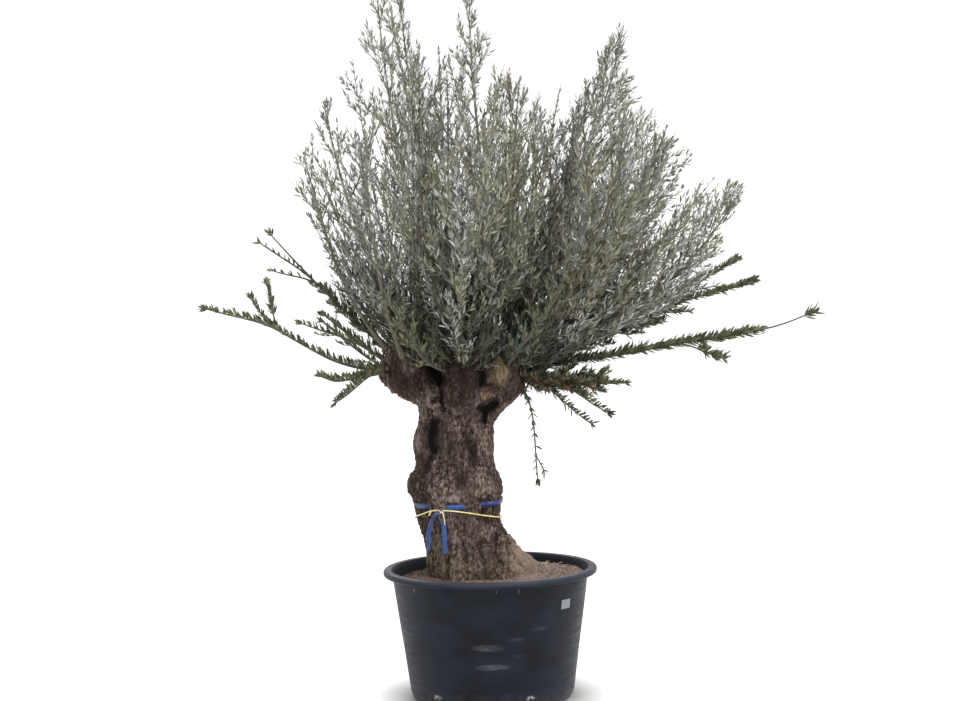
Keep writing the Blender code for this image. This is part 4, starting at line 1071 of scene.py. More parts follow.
KNUCKLES = (((0.064, -0.165, 1.522), (0.044, 0.060, 0.066)),)  # tan swellings: centre, half sizes
SCARS = (  # bare wood where limbs were cut: centre, half sizes
    ((0.006, -0.170, 1.412), (0.034, 0.120, 0.036)),
    ((-0.300, 0.140, 1.520), (0.040, 0.060, 0.050)),
)
GROOVES = (  # clefts in the front: (x, z) of both ends, half width, depth, darkness of the painted shade in them
    ((-0.250, 1.560), (-0.215, 1.480), 0.034, 0.040, 1.0),
    ((-0.211, 1.470), (-0.200, 1.350), 0.013, 0.020, 0.8),
    ((-0.244, 1.290), (-0.252, 1.161), 0.034, 0.028, 0.9),
    ((-0.259, 1.161), (-0.275, 1.070), 0.018, 0.018, 0.7),
    ((-0.005, 1.580), (-0.010, 1.460), 0.030, 0.040, 0.85),
    ((-0.022, 1.345), (0.040, 1.366), 0.022, 0.030, 1.0),
    ((0.002, 1.350), (-0.004, 1.285), 0.022, 0.030, 1.0),
    ((-0.058, 1.195), (-0.068, 1.090), 0.026, 0.022, 0.65),
    ((-0.090, 1.200), (-0.060, 1.085), 0.014, 0.012, 0.5),
    ((-0.215, 1.060), (-0.150, 0.980), 0.016, 0.012, 0.4),
    ((-0.030, 0.800), (0.070, 0.650), 0.018, 0.012, 0.3),
)
BARK_SHADE_HIGHLIGHTS_AND_TONES = (  # painted shade in the crotches, the clefts and down the right side, painted highlights on lit ridges, bare bark over the tie and a paler place low on the right: centre, half sizes, colour, strength
    # painted shade in the crotches between the heads
    ((-0.105, -0.160, 1.500), (0.130, 0.25, 0.200), "#1F1611", 0.95),
    ((-0.345, -0.150, 1.530), (0.150, 0.25, 0.160), "#28201A", 0.85),
    ((0.130, -0.150, 1.460), (0.110, 0.25, 0.130), "#2B221C", 0.80),
    # painted highlights on lit ridges
    ((-0.262, -0.170, 1.400), (0.026, 0.20, 0.060), "#9A8C82", 0.45),
    ((-0.350, -0.150, 1.545), (0.045, 0.30, 0.045), "#8D8276", 0.40),
    # painted shade down the right side
    ((0.060, -0.100, 1.200), (0.070, 0.25, 0.190), "#43362F", 0.80),
    ((0.075, -0.100, 0.960), (0.070, 0.25, 0.110), "#43362F", 0.55),
    # painted shade in the clefts and in the black cavity
    ((-0.237, -0.150, 1.215), (0.040, 0.25, 0.095), "#231A15", 0.70),
    ((-0.064, -0.150, 1.140), (0.026, 0.25, 0.070), "#2E241E", 0.60),
    ((0.008, -0.170, 1.340), (0.045, 0.25, 0.032), "#130D0A", 0.95),
    # painted highlight on a lit ridge at the left
    ((-0.319, -0.120, 1.180), (0.020, 0.20, 0.060), "#A39488", 0.45),
    # bare bark over the tie, then a paler place low on the right
    ((-0.155, -0.180, 0.940), (0.032, 0.20, 0.030), "#8F7E79", 1.0),
    ((0.175, -0.100, 0.650), (0.130, 0.30, 0.100), "#928071", 0.80),
)
KNUCKLE_SWELL = 1.08
PAINT_REACH = np.array((1.15, 3.0, 1.15))  # of the tan wood by the half sizes of its swelling
BARK_ATTRIBUTES = ("relief", "height", "knuckle", "scar", "hollow")
FURROW_DEPTH = 0.012
PLATE_DEPTH = 0.0050
CRUMB_DEPTH = 0.0022
FIBRE_DEPTH = 0.0030
SWELL_DEPTH = 0.011
BARK_CALM, TIE_CALM = 0.75, 0.7  # how much flatter the bark is where it is bare and under the tie
BURRS = (  # swellings on the trunk: azimuth in degrees, height, radius
    (-150, 1.00, 0.055),
    (-95, 1.07, 0.045),
    (-35, 0.96, 0.050),
    (-110, 0.70, 0.050),
    (40, 1.12, 0.055),
    (100, 0.88, 0.065),
    (150, 1.22, 0.050),
)


def bark_relief(points):
    """Height of the bark in metres, and the same from 0 in a crack to 1 on a plate.

    Long furrows are layered noise stretched along the trunk, taken where it is near zero. Plates
    are random cells a little taller than wide, and fibres a fine noise drawn out along the trunk.
    Burrs are broad noise."""
    warp = np.stack([layered_noise(points, 0.09, seed, 2) for seed in (41, 43, 47)], axis=1)
    bent = points + 0.022 * warp
    furrow = smoothstep(0.0, 0.30, np.abs(layered_noise(bent, (0.075, 0.075, 0.30), 51)))
    plates = smoothstep(0.02, 0.34, cell_edges(bent, (0.024, 0.024, 0.040), 61))
    crumbs = smoothstep(0.0, 0.40, cell_edges(bent, (0.011, 0.011, 0.016), 71))
    fibres = layered_noise(bent, (0.012, 0.012, 0.070), 87, 2)
    broad = layered_noise(points, 0.17, 81, 3)
    height = FURROW_DEPTH * (furrow - 0.8) + PLATE_DEPTH * (plates - 0.7) + CRUMB_DEPTH * (crumbs - 0.6)
    height += FIBRE_DEPTH * fibres + SWELL_DEPTH * broad
    relief = 0.35 * furrow + 0.30 * plates + 0.15 * crumbs + 0.10 + 0.12 * fibres
    return height, relief


def patch_weight(points, patches):
    """1 in the middle of each patch, falling to 0 as exp(-d^4)."""
    weight = np.zeros(len(points))
    for centre, size in patches:
        gap = (points - np.array(centre)) / np.array(size)
        weight = np.maximum(weight, np.exp(-((gap**2).sum(axis=1) ** 2)))
    return weight


def groove_depths(points):
    """The depth of the clefts, exp(-(d / w)^2) from each line in x and z, and the darkness of the painted
    shade in them.
    """
    depth, weight = np.zeros(len(points)), np.zeros(len(points))
    front = smoothstep(0.0, -0.06, points[:, 1])
    wander = np.stack([layered_noise(points, 0.05, seed, 3) for seed in (95, 97)], axis=1)
    bent = points[:, (0, 2)] + 0.016 * wander
    for start, end, width, deep, dark in GROOVES:
        start, line = np.array(start), np.array(end) - np.array(start)
        t = np.clip((bent - start) @ line / (line @ line), 0, 1)
        gap = np.linalg.norm(bent - start - t[:, None] * line, axis=1) / width
        share = np.exp(-(gap**2)) * front
        depth, weight = np.maximum(depth, deep * share), np.maximum(weight, dark * share)
    return depth, weight


def hidden_tie(angle):
    """1 where the ribbon has sunk under the bark and 0 where it is in view."""
    degrees = np.degrees(angle)
    hidden = np.zeros(np.shape(angle))
    for first, last in TIE_HIDDEN:
        middle, half = (first + last) / 2, (last - first) / 2
        aside = np.abs((degrees - middle + 180) % 360 - 180)
        hidden = np.maximum(hidden, smoothstep(half + 3, half - 3, aside))
    return hidden


def near_tie(points):
    """1 under the ribbon where it is in view and under the strand, and 0 away from them."""
    middle = (outline_at(TIE_HEIGHT, 1) + outline_at(TIE_HEIGHT, 2)) / 2
    angle = np.arctan2(points[:, 1] / TRUNK_DEPTH_SHARE, points[:, 0] - middle)
    ribbon = np.exp(-(((points[:, 2] - ribbon_height(angle)) / 0.014) ** 2)) * (1 - hidden_tie(angle))
    strand = np.exp(-(((points[:, 2] - strand_height(angle)) / 0.008) ** 2))
    return np.maximum(ribbon, strand)


def build_trunk(settings, limbs):
    """Trunk, heads and swellings as one skin, moved out by the bark's relief and in at the clefts."""
    shapes = [trunk_shape(), *(head_shape(head) for head in HEADS.values())]
    burrs = [
        (head_exit(limb, path), LEADER_BURR if limb in LEADERS else SPRAY_BURR) for limb, path in limbs
    ]
    for azimuth, height, radius in BURRS:
        place = np.array([math.radians(azimuth)]), np.array([height])
        burrs.append((trunk_surface(*place, -BURR_SINK * radius)[0], radius))
    shapes += [burr_shape(centre, radius, seed) for seed, (centre, radius) in enumerate(burrs)]
    for centre, size in KNUCKLES:
        shapes.append(burr_shape(np.array(centre), np.array(size) * KNUCKLE_SWELL, 77))
    trunk = new_piece("trunk_bark", joined(shapes), [bark_material(settings)])
    skin = trunk.modifiers.new("skin", "REMESH")
    skin.mode = "VOXEL"
    skin.voxel_size = settings.bark_grid
    soften = trunk.modifiers.new("soften", "SMOOTH")
    soften.factor = 0.5
    soften.iterations = 6
    apply_modifiers(trunk)
    mesh = trunk.data
    points, normals = vectors(mesh.vertices, "co"), vectors(mesh.vertex_normals, "vector")
    height, relief = bark_relief(points)
    tan = [(centre, np.array(size) * PAINT_REACH) for centre, size in KNUCKLES]
    knuckle, scar = patch_weight(points, tan), patch_weight(points, SCARS)
    calm = (1 - BARK_CALM * np.maximum(knuckle, scar)) * (1 - TIE_CALM * near_tie(points))
    out = settings.bark_depth * height * calm - groove_depths(points)[0]
    moved = points + normals * out[:, None]
    mesh.vertices.foreach_set("co", moved.astype(np.float32).ravel())
    mesh.update()
    for name, values in zip(
        BARK_ATTRIBUTES, (relief, moved[:, 2], knuckle, scar, groove_depths(moved)[1])
    ):
        attribute = mesh.attributes.new(name, "FLOAT", "POINT")
        attribute.data.foreach_set("value", values.astype(np.float32))
    mesh.shade_smooth()
    add_to_tree(trunk, "bark", "trunk", *(f"head_{name}" for name in HEADS))


# Limbs, shoots, twigs and leaves

Shoots = namedtuple("Shoots", "paths radii tint turn")
Leaves = namedtuple("Leaves", "root way side length width tint")


def heading(azimuth, elevation):
    """The unit way at an azimuth and an elevation in degrees."""
    a, e = math.radians(azimuth), math.radians(elevation)
    return np.array((math.cos(e) * math.cos(a), math.cos(e) * math.sin(a), math.sin(e)))


def hermite(start, start_way, end, end_way, steps):
    """Points on cubic curves that leave and arrive along the two ways, for arrays (count, 3)."""
    length = np.linalg.norm(end - start, axis=1)[:, None, None]
    leave, arrive = start_way[:, None] * length * START_PULL * 3, end_way[:, None] * length * END_PULL * 3
    a, b, c, d = hermite_weights(np.linspace(0, 1, steps + 1)[:, None])
    return a * start[:, None] + b * leave + c * end[:, None] + d * arrive


def limb_path(limb, upturn):
    """A limb's curve, from inside its head to its tip, turned up or down at the end."""
    start, tip = head_centre(HEADS[limb.head]), np.array(limb.tip)
    arrival = unit(unit(tip - start) + UP * upturn)
    way = heading(limb.azimuth, limb.elevation)
    return hermite(start[None], way[None], tip[None], arrival[None], AXIS_SAMPLES)[0]


def fork_path(path, share, tip):
    """A side shoot's curve, from a share of the way along its limb to its own tip."""
    i = int(share * (len(path) - 1))
    start, way, tip = path[i], unit(path[i + 1] - path[i]), np.array(tip)
    return hermite(start[None], way[None], tip[None], unit(tip - start)[None], AXIS_SAMPLES // 2)[0]


def resample(path, first, last, count):
    """count + 1 points at even steps of length between two shares of a path."""
    run = np.concatenate([[0.0], np.cumsum(np.linalg.norm(np.diff(path, axis=0), axis=1))])
    wanted = np.linspace(first * run[-1], last * run[-1], count + 1)
    return np.stack([np.interp(wanted, run, path[:, k]) for k in range(3)], axis=1)


def nodes_along(paths, spacing, start, end):
    """Evenly spaced nodes on each path: whose they are, their share of the way and their number."""
    lengths = np.linalg.norm(np.diff(paths, axis=1), axis=2).sum(axis=1)
    counts = np.maximum(np.round(lengths * (end - start) / spacing).astype(int), 1)
    owner = np.repeat(np.arange(len(paths)), counts)
    number = np.arange(counts.sum()) - np.repeat(np.cumsum(counts) - counts, counts)
    return owner, start + (end - start) * (number + 0.5) / counts[owner], number


def at(paths, owner, share):
    """The point and the direction of each owner's path at a share of its way."""
    last = paths.shape[1] - 1
    place = np.clip(share, 0, 1) * last
    low = np.minimum(place.astype(int), last - 1)
    before, after = paths[owner, low], paths[owner, low + 1]
    return before + (after - before) * (place - low)[:, None], unit(after - before)


def pairs_along(shoots, spacing, span, angle, most, rng):
    """Pairs along shoots, each at right angles to the one below: whose they are, their share of the
    way, their point, the way there, two ways that lean from it by up to most times the angle on
    opposite sides, way cos(lean) + out sin(lean), and that outward direction."""
    owner, share, number = nodes_along(shoots.paths, spacing, *span)
    point, way = at(shoots.paths, owner, share)
    turn = shoots.turn[owner] + number * np.pi / 2 + rng.uniform(-NODE_TURN, NODE_TURN, len(owner))
    lean = angle * rng.uniform(0.75, most, (len(owner), 2))
    side, other = across(way)
    out = side * np.cos(turn)[:, None] + other * np.sin(turn)[:, None]
    leaning = way[:, None] * np.cos(lean)[..., None]
    leaning = leaning + out[:, None] * (HANDS * np.sin(lean))[..., None]
    return owner, share, point, way, unit(leaning), out


def fan(points):
    """The way that shoots turn to from a place: upright on the left, leaning out on the right."""
    lean = np.interp(points[..., 0], LEAN_PLACES, LEAN_SHARES)
    return unit(np.stack([lean, LEAN_DEPTH * points[..., 1], np.ones_like(lean)], axis=-1))


def in_crown(paths):
    """Whether the outer half of each shoot is inside the crown: under its tips and, in plan, inside
    an ellipse between its edges at that height."""
    x, y, z = np.moveaxis(paths[:, paths.shape[1] // 2 :], -1, 0)
    tips = np.interp(x, *CROWN_TIPS.T) - CROWN_FALL * y**2
    left, right, depth = (np.interp(z, CROWN_EDGES[:, 0], CROWN_EDGES[:, k]) for k in (1, 2, 3))
    middle, half = (left + right) / 2, (right - left) / 2
    inside = (np.abs(x - middle) / half) ** 2.5 + (np.abs(y) / depth) ** 2.5 < 1
    return (inside & (z < tips)).all(axis=1)


def in_box(paths):
    """Whether each shoot is inside the CAD model's box."""
    return ((paths > CAD_LOW + 0.01) & (paths < CAD_HIGH - 0.01)).all(axis=(1, 2))


def grow(root, way, length, upturn, steps, room, rng):
    """Curved shoots that leave along their ways and turn up, each shortened until it has room, with
    their lengths and whether they have it."""
    bend = unit(way + fan(root) * upturn + rng.normal(0, SHOOT_WANDER, way.shape))
    onward = unit(way + bend)
    for _ in range(SHOOT_TRIES):
        paths = hermite(root, way, root + onward * length[:, None], bend, steps)
        keep = room(paths)
        length = np.where(keep, length, length * SHOOT_SHORTENING)
    return paths, length, keep


def side_shoots(parents, spacing, span, reach, radius, angle, upturn, steps, room, rng):
    """Pairs of side shoots along their parents. reach gives a shoot's length from its share of the
    way along its parent, and radius is that of its foot, that of its tip and the length that has
    that foot."""
    owner, share, point, way, ways, _ = pairs_along(parents, spacing, span, angle, 1.25, rng)
    root = point[:, None] + way[:, None] * (HANDS * TWIG_STAGGER)[:, None]
    length = reach(share)[:, None] * rng.uniform(0.65, 1.2, (len(owner), 2))
    root, ways, length = root.reshape(-1, 3), ways.reshape(-1, 3), length.ravel()
    paths, length, keep = grow(root, ways, length, upturn, steps, room, rng)
    owner = np.repeat(owner, 2)
    foot = radius[0] * np.clip(length / radius[2], 0.6, 1.2)[:, None]
    radii = foot + (radius[1] - foot) * np.linspace(0, 1, steps + 1)
    turns = rng.uniform(0, np.pi, len(owner))
    return Shoots(paths[keep], radii[keep], parents.tint[owner][keep], turns[keep])


def leaf_pairs(shoots, spacing, span, size, rise, rng, angle=LEAF_ANGLE):
    """Pairs of leaves along shoots, lifted by rise, each blade turned a little by twist."""
    owner, share, point, _, ways, out = pairs_along(shoots, spacing, span, angle, 1.3, rng)
    ways = unit(ways + fan(point)[:, None] * rise + rng.normal(0, LEAF_WANDER, ways.shape))
    twist = rng.uniform(-LEAF_TWIST, LEAF_TWIST, (len(owner), 2))[..., None]
    flat = unit(np.cross(ways, out[:, None]))
    side = flat * np.cos(twist) + np.cross(flat, ways) * np.sin(twist)
    shrink = (1 - LEAF_SHRINK * share**4)[:, None] * rng.uniform(0.72, 1.15, (len(owner), 2))
    root = np.broadcast_to(point[:, None], ways.shape)
    tint = np.repeat(shoots.tint[owner], 2)
    stray = rng.uniform(0, 1, len(tint)) < STRAY_LEAVES
    tint = np.where(stray, tints_at(root.reshape(-1, 3), rng), tint)
    keep = rng.uniform(0, 1, 2 * len(owner)) > LEAF_GAPS
    return Leaves(
        root.reshape(-1, 3)[keep],
        ways.reshape(-1, 3)[keep],
        side.reshape(-1, 3)[keep],
        (size[0] * shrink).ravel()[keep],
        (size[1] * shrink**0.5).ravel()[keep],
        tint[keep],
    )


def end_leaves(shoots, size, rng):
    """The last leaf of each shoot, along its end."""
    tip, count = shoots.paths[:, -1], len(shoots.paths)
    way = unit(tip - shoots.paths[:, -2])
    length = size[0] * rng.uniform(0.6, 0.95, count)
    return Leaves(tip, way, across(way)[0], length, np.full(count, size[1] * 0.85), shoots.tint)


def merged(kind, groups):
    """Several groups of shoots or leaves as one."""
    return kind(*(np.concatenate(arrays) for arrays in zip(*groups)))


LEAF_POINTS = np.array(  # along the length, across the half width, out of the blade
    (
        (0.0, 0.0, 0.0), (0.34, 1.0, 0.0), (0.34, -1.0, 0.0), (0.72, 0.78, 0.02),
        (0.72, -0.78, 0.02), (1.0, 0.0, 0.06), (0.50, 0.0, -0.022),
    )
)
LEAF_UPPER = np.array(((0, 2, 1), (1, 2, 4), (1, 4, 3), (3, 4, 5)))
LEAF_UNDER = np.array(((0, 1, 6), (1, 3, 6), (3, 5, 6), (5, 4, 6), (4, 2, 6), (2, 0, 6)))


def leaf_shape(leaves):
    """Closed leaves of ten faces: root + way l t + side w s + blade l h for each row of
    LEAF_POINTS, with a flat upper side and an under side with its middle drawn down."""
    blade = unit(np.cross(leaves.way, leaves.side))
    along, aside, out = LEAF_POINTS.T[:, :, None]
    length, half = leaves.length[:, None, None], leaves.width[:, None, None] / 2
    points = (
        leaves.root[:, None]
        + leaves.way[:, None] * length * along
        + leaves.side[:, None] * half * aside
        + blade[:, None] * length * out
    )
    count, size = points.shape[:2]
    return points.reshape(-1, 3), [repeated(faces, count, size) for faces in (LEAF_UPPER, LEAF_UNDER)]


LEAF_TINTS = (  # name, upper side, under side, share of grey sprays, of olive ones and of shaded ones
    ("deep", "#555B54", "#767C74", 0.24, 0.18, 0.22),
    ("olive", "#6E6F5A", "#8F907B", 0.14, 0.34, 0.14),
    ("grey", "#70746B", "#93968C", 0.32, 0.22, 0.05),
    ("silver", "#868B87", "#A8ACA8", 0.22, 0.10, 0.0),
    ("brown", "#665F50", "#817A6B", 0.10, 0.20, 0.06),
    ("shade", "#2C2F27", "#3E4238", 0.02, 0.0, 0.57),
    ("low_deep", "#42442F", "#53553F", 0.0, 0.0, 0.0),
    ("low_olive", "#5A5B40", "#6B6C50", 0.0, 0.0, 0.0),
    ("teal", "#47544B", "#66766C", 0.0, 0.0, 0.0),
    ("dry", "#604432", "#80604A", 0.0, 0.0, 0.0),
)
SHADE, LOW_DEEP, LOW_OLIVE, TEAL, DRY = range(len(LEAF_TINTS) - 5, len(LEAF_TINTS))
STRAY_LEAVES = 0.4  # share of leaves with a tint of their own
LEAVES_IN_A_PIECE = 19000  # of ten triangles each


def low_tints(leaves, shaded, rng):
    """The leaves with the dark green tints of the low sprays and of the brush on the heads, a share
    of them shaded, and blue-green ones on the right head."""
    x, y, z = leaves.root.T
    tint = rng.choice((SHADE, LOW_DEEP, LOW_OLIVE), len(x), p=(shaded, 0.6 - shaded / 2, 0.4 - shaded / 2))
    blue = (x > 0.05) & (x < 0.32) & (y < 0) & (z < 1.72) & (rng.uniform(0, 1, len(x)) < 0.35)
    # painted shade on most leaves of the hanging spray, under the right head
    hung = (x > 0.1) & (z < 1.34) & (rng.uniform(0, 1, len(x)) < 0.7)
    return leaves._replace(tint=np.where(blue, TEAL, np.where(hung, SHADE, tint)))


def leaf_materials():
    """Olive leaves: leathery and dull green above, felted silver below, in the tints that light and
    age give to whole sprays."""
    upper = [plain_material(f"olive_leaf_upper_{row[0]}", row[1], 0.52) for row in LEAF_TINTS]
    under = [plain_material(f"olive_leaf_under_{row[0]}", row[2], 0.78) for row in LEAF_TINTS]
    return upper + under


def build_leaves(name, leaves, materials, nodes):
    """Leaves joined into pieces, with two materials for each tint: upper and under side."""
    count = len(leaves.root)
    parts = math.ceil(count / LEAVES_IN_A_PIECE)
    for number, rows in enumerate(np.array_split(np.arange(count), parts)):
        some = Leaves(*(values[rows] for values in leaves))
        part = f"_{number + 1}" if parts > 1 else ""
        piece = new_piece(f"leaves_{name}{part}", leaf_shape(some), materials, False)
        upper = np.repeat(some.tint, len(LEAF_UPPER))
        under = np.repeat(some.tint, len(LEAF_UNDER)) + len(LEAF_TINTS)
        piece.data.polygons.foreach_set("material_index", np.concatenate([upper, under]).astype(np.int32))
        add_to_tree(piece, "foliage", *nodes)


def build_twigs(name, groups, materials):
    """Shoots and twigs of a head joined into one piece, with more sides on the thicker ones."""
    shapes = [tubes(shoots.paths, shoots.radii, sides) for shoots, sides in groups]
    add_to_tree(new_piece(f"twigs_{name}", joined(shapes), materials), "foliage")


def plume_reach(share):
    """How long side shoots are along a leader: longest below the middle, short at both ends."""
    swell = np.sin(np.pi * (PLUME_START + (1 - PLUME_START) * share))
    return SHOOT_SHORTEST + (SHOOT_LONGEST - SHOOT_SHORTEST) * swell


def tints_at(points, rng):
    """A tint for each place: grey at the left and the top, olive low and to the right, and painted
    shade inside the crown just over the heads."""
    olive = (smoothstep(-0.60, 0.25, points[:, 0]) * smoothstep(3.15, 2.35, points[:, 2]))[:, None]
    inside = smoothstep(0.85, 0.40, np.hypot(points[:, 0] + 0.05, points[:, 1]))
    shade = (inside * smoothstep(2.15, 1.75, points[:, 2]))[:, None]
    grey_share, olive_share, shade_share = np.array([row[3:] for row in LEAF_TINTS]).T
    shares = grey_share + (olive_share - grey_share) * olive
    edges = np.cumsum(shares + (shade_share - shares) * shade, axis=1)
    return (rng.uniform(0, 1, (len(points), 1)) > edges).sum(axis=1).clip(0, LOW_DEEP - 1)


def leader_stems(paths, rng):
    """The stems of a head's leaders, from the bough's end to the tip."""
    stems = np.stack([resample(path, BOUGH_SHARE * 0.7, 0.99, 40) for path in paths])
    radii = np.broadcast_to(np.linspace(STEM_RADIUS, TIP_RADIUS, 41), stems.shape[:2])
    return Shoots(stems, radii, tints_at(stems[:, 30], rng), rng.uniform(0, np.pi, len(paths)))


def head_shoots(head, count, azimuths, elevations, lengths, upturn, thick, rng):
    """Straight young shoots that spring from a head."""
    azimuth = np.radians(rng.uniform(*azimuths, count))
    elevation = np.radians(rng.uniform(*elevations, count))
    out = polar(np.cos(elevation), azimuth, np.sin(elevation))
    root = head_centre(head) + out * head_size(head) * 0.9
    length = rng.uniform(*lengths, count)
    paths, length, keep = grow(root, out, length, upturn, 16, in_crown, rng)
    foot = (thick[0] + (thick[1] - thick[0]) * length / lengths[1])[:, None]
    radii = foot + (HEAD_SHOOT_TIP - foot) * np.linspace(0, 1, 17)
    turns = rng.uniform(0, np.pi, count)
    return Shoots(paths[keep], radii[keep], tints_at(paths[:, 12], rng)[keep], turns[keep])


def build_crown(head, leaders, settings, leaf_kinds, twig_kinds, seed):
    """Everything that grows on one head and its leaders."""
    rng = np.random.default_rng(seed)
    stems = leader_stems([path for limb, path in leaders], rng)
    full = FULLNESS[head.name]
    whips = merged(
        Shoots,
        [
            head_shoots(head, count, azimuths, elevations, lengths, 0.55, WHIP_RADII, rng)
            for name, count, azimuths, elevations, lengths in WHIPS
            if name == head.name
        ],
    )
    water = head_shoots(
        head, WATER_SHOOTS, (0, 360), (5, 80), WATER_SHOOT_LENGTH, 0.5, WATER_RADII, rng
    )
    brush = head_shoots(
        head, BRUSH_SHOOTS, BRUSH_AZIMUTHS[head.name], BRUSH_ELEVATIONS, BRUSH_LENGTH, 0.4, BRUSH_RADII, rng
    )
    shoots = side_shoots(
        stems, settings.shoot_spacing / full, (0.04, 0.985), plume_reach,
        SHOOT_RADII, TWIG_ANGLE, SHOOT_UPTURN, 8, in_crown, rng,
    )
    shoots = shoots._replace(tint=tints_at(shoots.paths[:, -1], rng))
    whip_shoots = side_shoots(
        whips, settings.twig_spacing * 1.5 / full, (0.15, 0.93), lambda share: 0.26 - 0.14 * share,
        WHIP_SHOOT_RADII, TWIG_ANGLE, SHOOT_UPTURN, 6, in_crown, rng,
    )
    twigs = [
        side_shoots(
            parents, settings.twig_spacing / full, span, lambda share: 0.14 - 0.07 * share,
            TWIG_RADII, TWIG_ANGLE, TWIG_UPTURN, 4, in_crown, rng,
        )
        for parents, span in ((shoots, (0.15, 0.9)), (water, (0.15, 0.9)))
    ]
    size = (settings.leaf_length, settings.leaf_width)
    gap = settings.leaf_spacing
    groups = [(stems, 1.1, (0.12, 1.0)), (whips, 1.2, (0.15, 1.0)), (water, 1.0, (0.10, 1.0))]
    groups += [(shoots, 1.0, (0.10, 1.0)), (whip_shoots, 1.0, (0.10, 1.0))]
    groups += [(some, 0.9, (0.15, 1.0)) for some in twigs]
    leaves = [leaf_pairs(some, gap * wide, span, size, LEAF_RISE, rng) for some, wide, span in groups]
    leaves += [end_leaves(some, size, rng) for some, wide, span in groups]
    dark = leaf_pairs(brush, BRUSH_LEAVES[0], (0.05, 1.0), BRUSH_LEAVES[1], LEAF_RISE, rng)
    leaves = merged(Leaves, [*leaves, low_tints(dark, 0.40, rng)])
    build_leaves(head.name, leaves, leaf_kinds, [f"foliage_{limb.name}" for limb, path in leaders])
    thick = [(stems, 8), (whips, 5), (water, 4), (brush, 4), (shoots, 4), (whip_shoots, 3)]
    build_twigs(head.name, thick + [(some, 3) for some in twigs], twig_kinds)


Habit = namedtuple(
    "Habit", "leaf_gap leaf_size angle span rise twig_gap twig_span twig_length", defaults=(None, None, None)
)
# Of a spray's leaves: distance, size, lean in degrees, share of the first and the last, lift. Of its
# twigs: distance, share of the first and the last, length
SPRAY_HABITS = {
    "far_left": Habit(0.0088, (0.050, 0.0125), 55, (0.06, 1.0), 1.0),
    "short_left": Habit(0.0085, (0.050, 0.0125), 48, (0.10, 1.0), 1.0),
    "low_left": Habit(0.0060, (0.052, 0.0120), 57, (0.08, 1.0), 1.3),
    "upper_left": Habit(0.0060, (0.042, 0.0105), 48, (0.08, 0.62), 0.8, 0.035, (0.12, 0.60), 0.10),
    "far_right": Habit(0.0038, (0.062, 0.0140), 54, (0.06, 0.82), 0.5),
    "low_right": Habit(0.0048, (0.046, 0.0115), 46, (0.06, 0.97), 0.6, 0.026, (0.04, 0.75), 0.17),
    "right_shelf": Habit(0.0060, (0.054, 0.0130), 54, (0.10, 1.0), 0.5, 0.060, (0.10, 0.60), 0.16),
    "right_rear": Habit(0.0060, (0.054, 0.0130), 54, (0.10, 1.0), 0.5, 0.060, (0.10, 0.66), 0.16),
    "hanging": Habit(0.030, (0.042, 0.0115), 50, (0.14, 1.0), -0.1),
}
OTHER_HABIT = Habit(0.012, (0.038, 0.0086), 35, (0.15, 1.0), 0.7, 0.080, (0.2, 0.85), 0.17)
FORK_FOOT = 0.55  # radius of a side spray's foot by that of its spray
HANGING_FOOT = 0.55  # radius of the hanging spray's foot by that of the others
TUFT = (0.0050, (0.965, 1.0))  # distance and share of the pairs of leaves at the tip
TUFT_SWELL = 1.35
DRY_LEAVES = ((0.0050, (0.12, 0.36)), (0.028, (0.1, 0.7)))  # on the stems and on the twigs
DENSE_LEAVES = {  # where a spray has more leaves than elsewhere
    "hanging": (0.009, (0.15, 0.30)),
    "right_shelf": (0.0045, (0.80, 1.0)),
    "right_rear": (0.0045, (0.76, 1.0)),
}


def build_sprays(limbs, leaf_kinds, twig_kinds, seed):
    """The low sprays: thin shoots with leaves in pairs that point up, and a few twigs. The bare ends
    have a tuft of leaves."""
    rng = np.random.default_rng(seed)
    groups, leaves, dry = [], [], []
    for limb, paths in limbs:
        habit = SPRAY_HABITS.get(limb.name, OTHER_HABIT)
        angle = math.radians(habit.angle)
        spans = [(habit.leaf_gap, habit.span)]
        spans += [(gap, (first, 1.0)) for *_, gap, first in limb.forks]
        for number, path in enumerate(paths):
            foot = SPRAY_RADIUS * (FORK_FOOT if number else 1)
            if limb.name == "hanging":
                foot = foot * HANGING_FOOT
            radii = np.linspace(foot, SPRAY_TIP_RADIUS, 25)[None]
            stem = resample(path, 0.0, 0.985, 24)[None]
            stem = Shoots(stem, radii, np.array([LOW_DEEP]), rng.uniform(0, 3, 1))
            groups.append((stem, 8))
            parts = [(stem, *spans[number])]
            if limb.name == "low_right":
                dry.append(leaf_pairs(stem, *DRY_LEAVES[0], habit.leaf_size, 0.2, rng))
            if number == 0 and habit.twig_gap:
                length = habit.twig_length
                twigs = side_shoots(
                    stem, habit.twig_gap, habit.twig_span, lambda share: length * (1 - 0.4 * share),
                    SPRAY_TWIG_RADII, TWIG_ANGLE, SPRAY_TWIG_UPTURN, 5, in_box, rng,
                )
                groups.append((twigs, 3))
                parts.append((twigs, habit.leaf_gap * 1.3, (0.08, 1.0)))
                if limb.name == "low_right":
                    dry.append(leaf_pairs(twigs, *DRY_LEAVES[1], habit.leaf_size, 0.2, rng))
            if number == 0 and limb.name in DENSE_LEAVES:
                parts.append((stem, *DENSE_LEAVES[limb.name]))
            for some, gap, span in parts:
                leaves.append(leaf_pairs(some, gap, span, habit.leaf_size, habit.rise, rng, angle))
            tuft_size = tuple(TUFT_SWELL * length for length in habit.leaf_size)
            leaves.append(leaf_pairs(stem, *TUFT, tuft_size, 0.0, rng))
            leaves.append(end_leaves(stem, habit.leaf_size, rng))
    dry = merged(Leaves, dry)
    leaves = low_tints(merged(Leaves, leaves), 0.0, rng)
    leaves = merged(Leaves, [leaves, dry._replace(tint=np.full(len(dry.tint), DRY))])
    build_leaves("sprays", leaves, leaf_kinds, [f"spray_{limb.name}" for limb, paths in limbs])
    build_twigs("sprays", groups, twig_kinds)


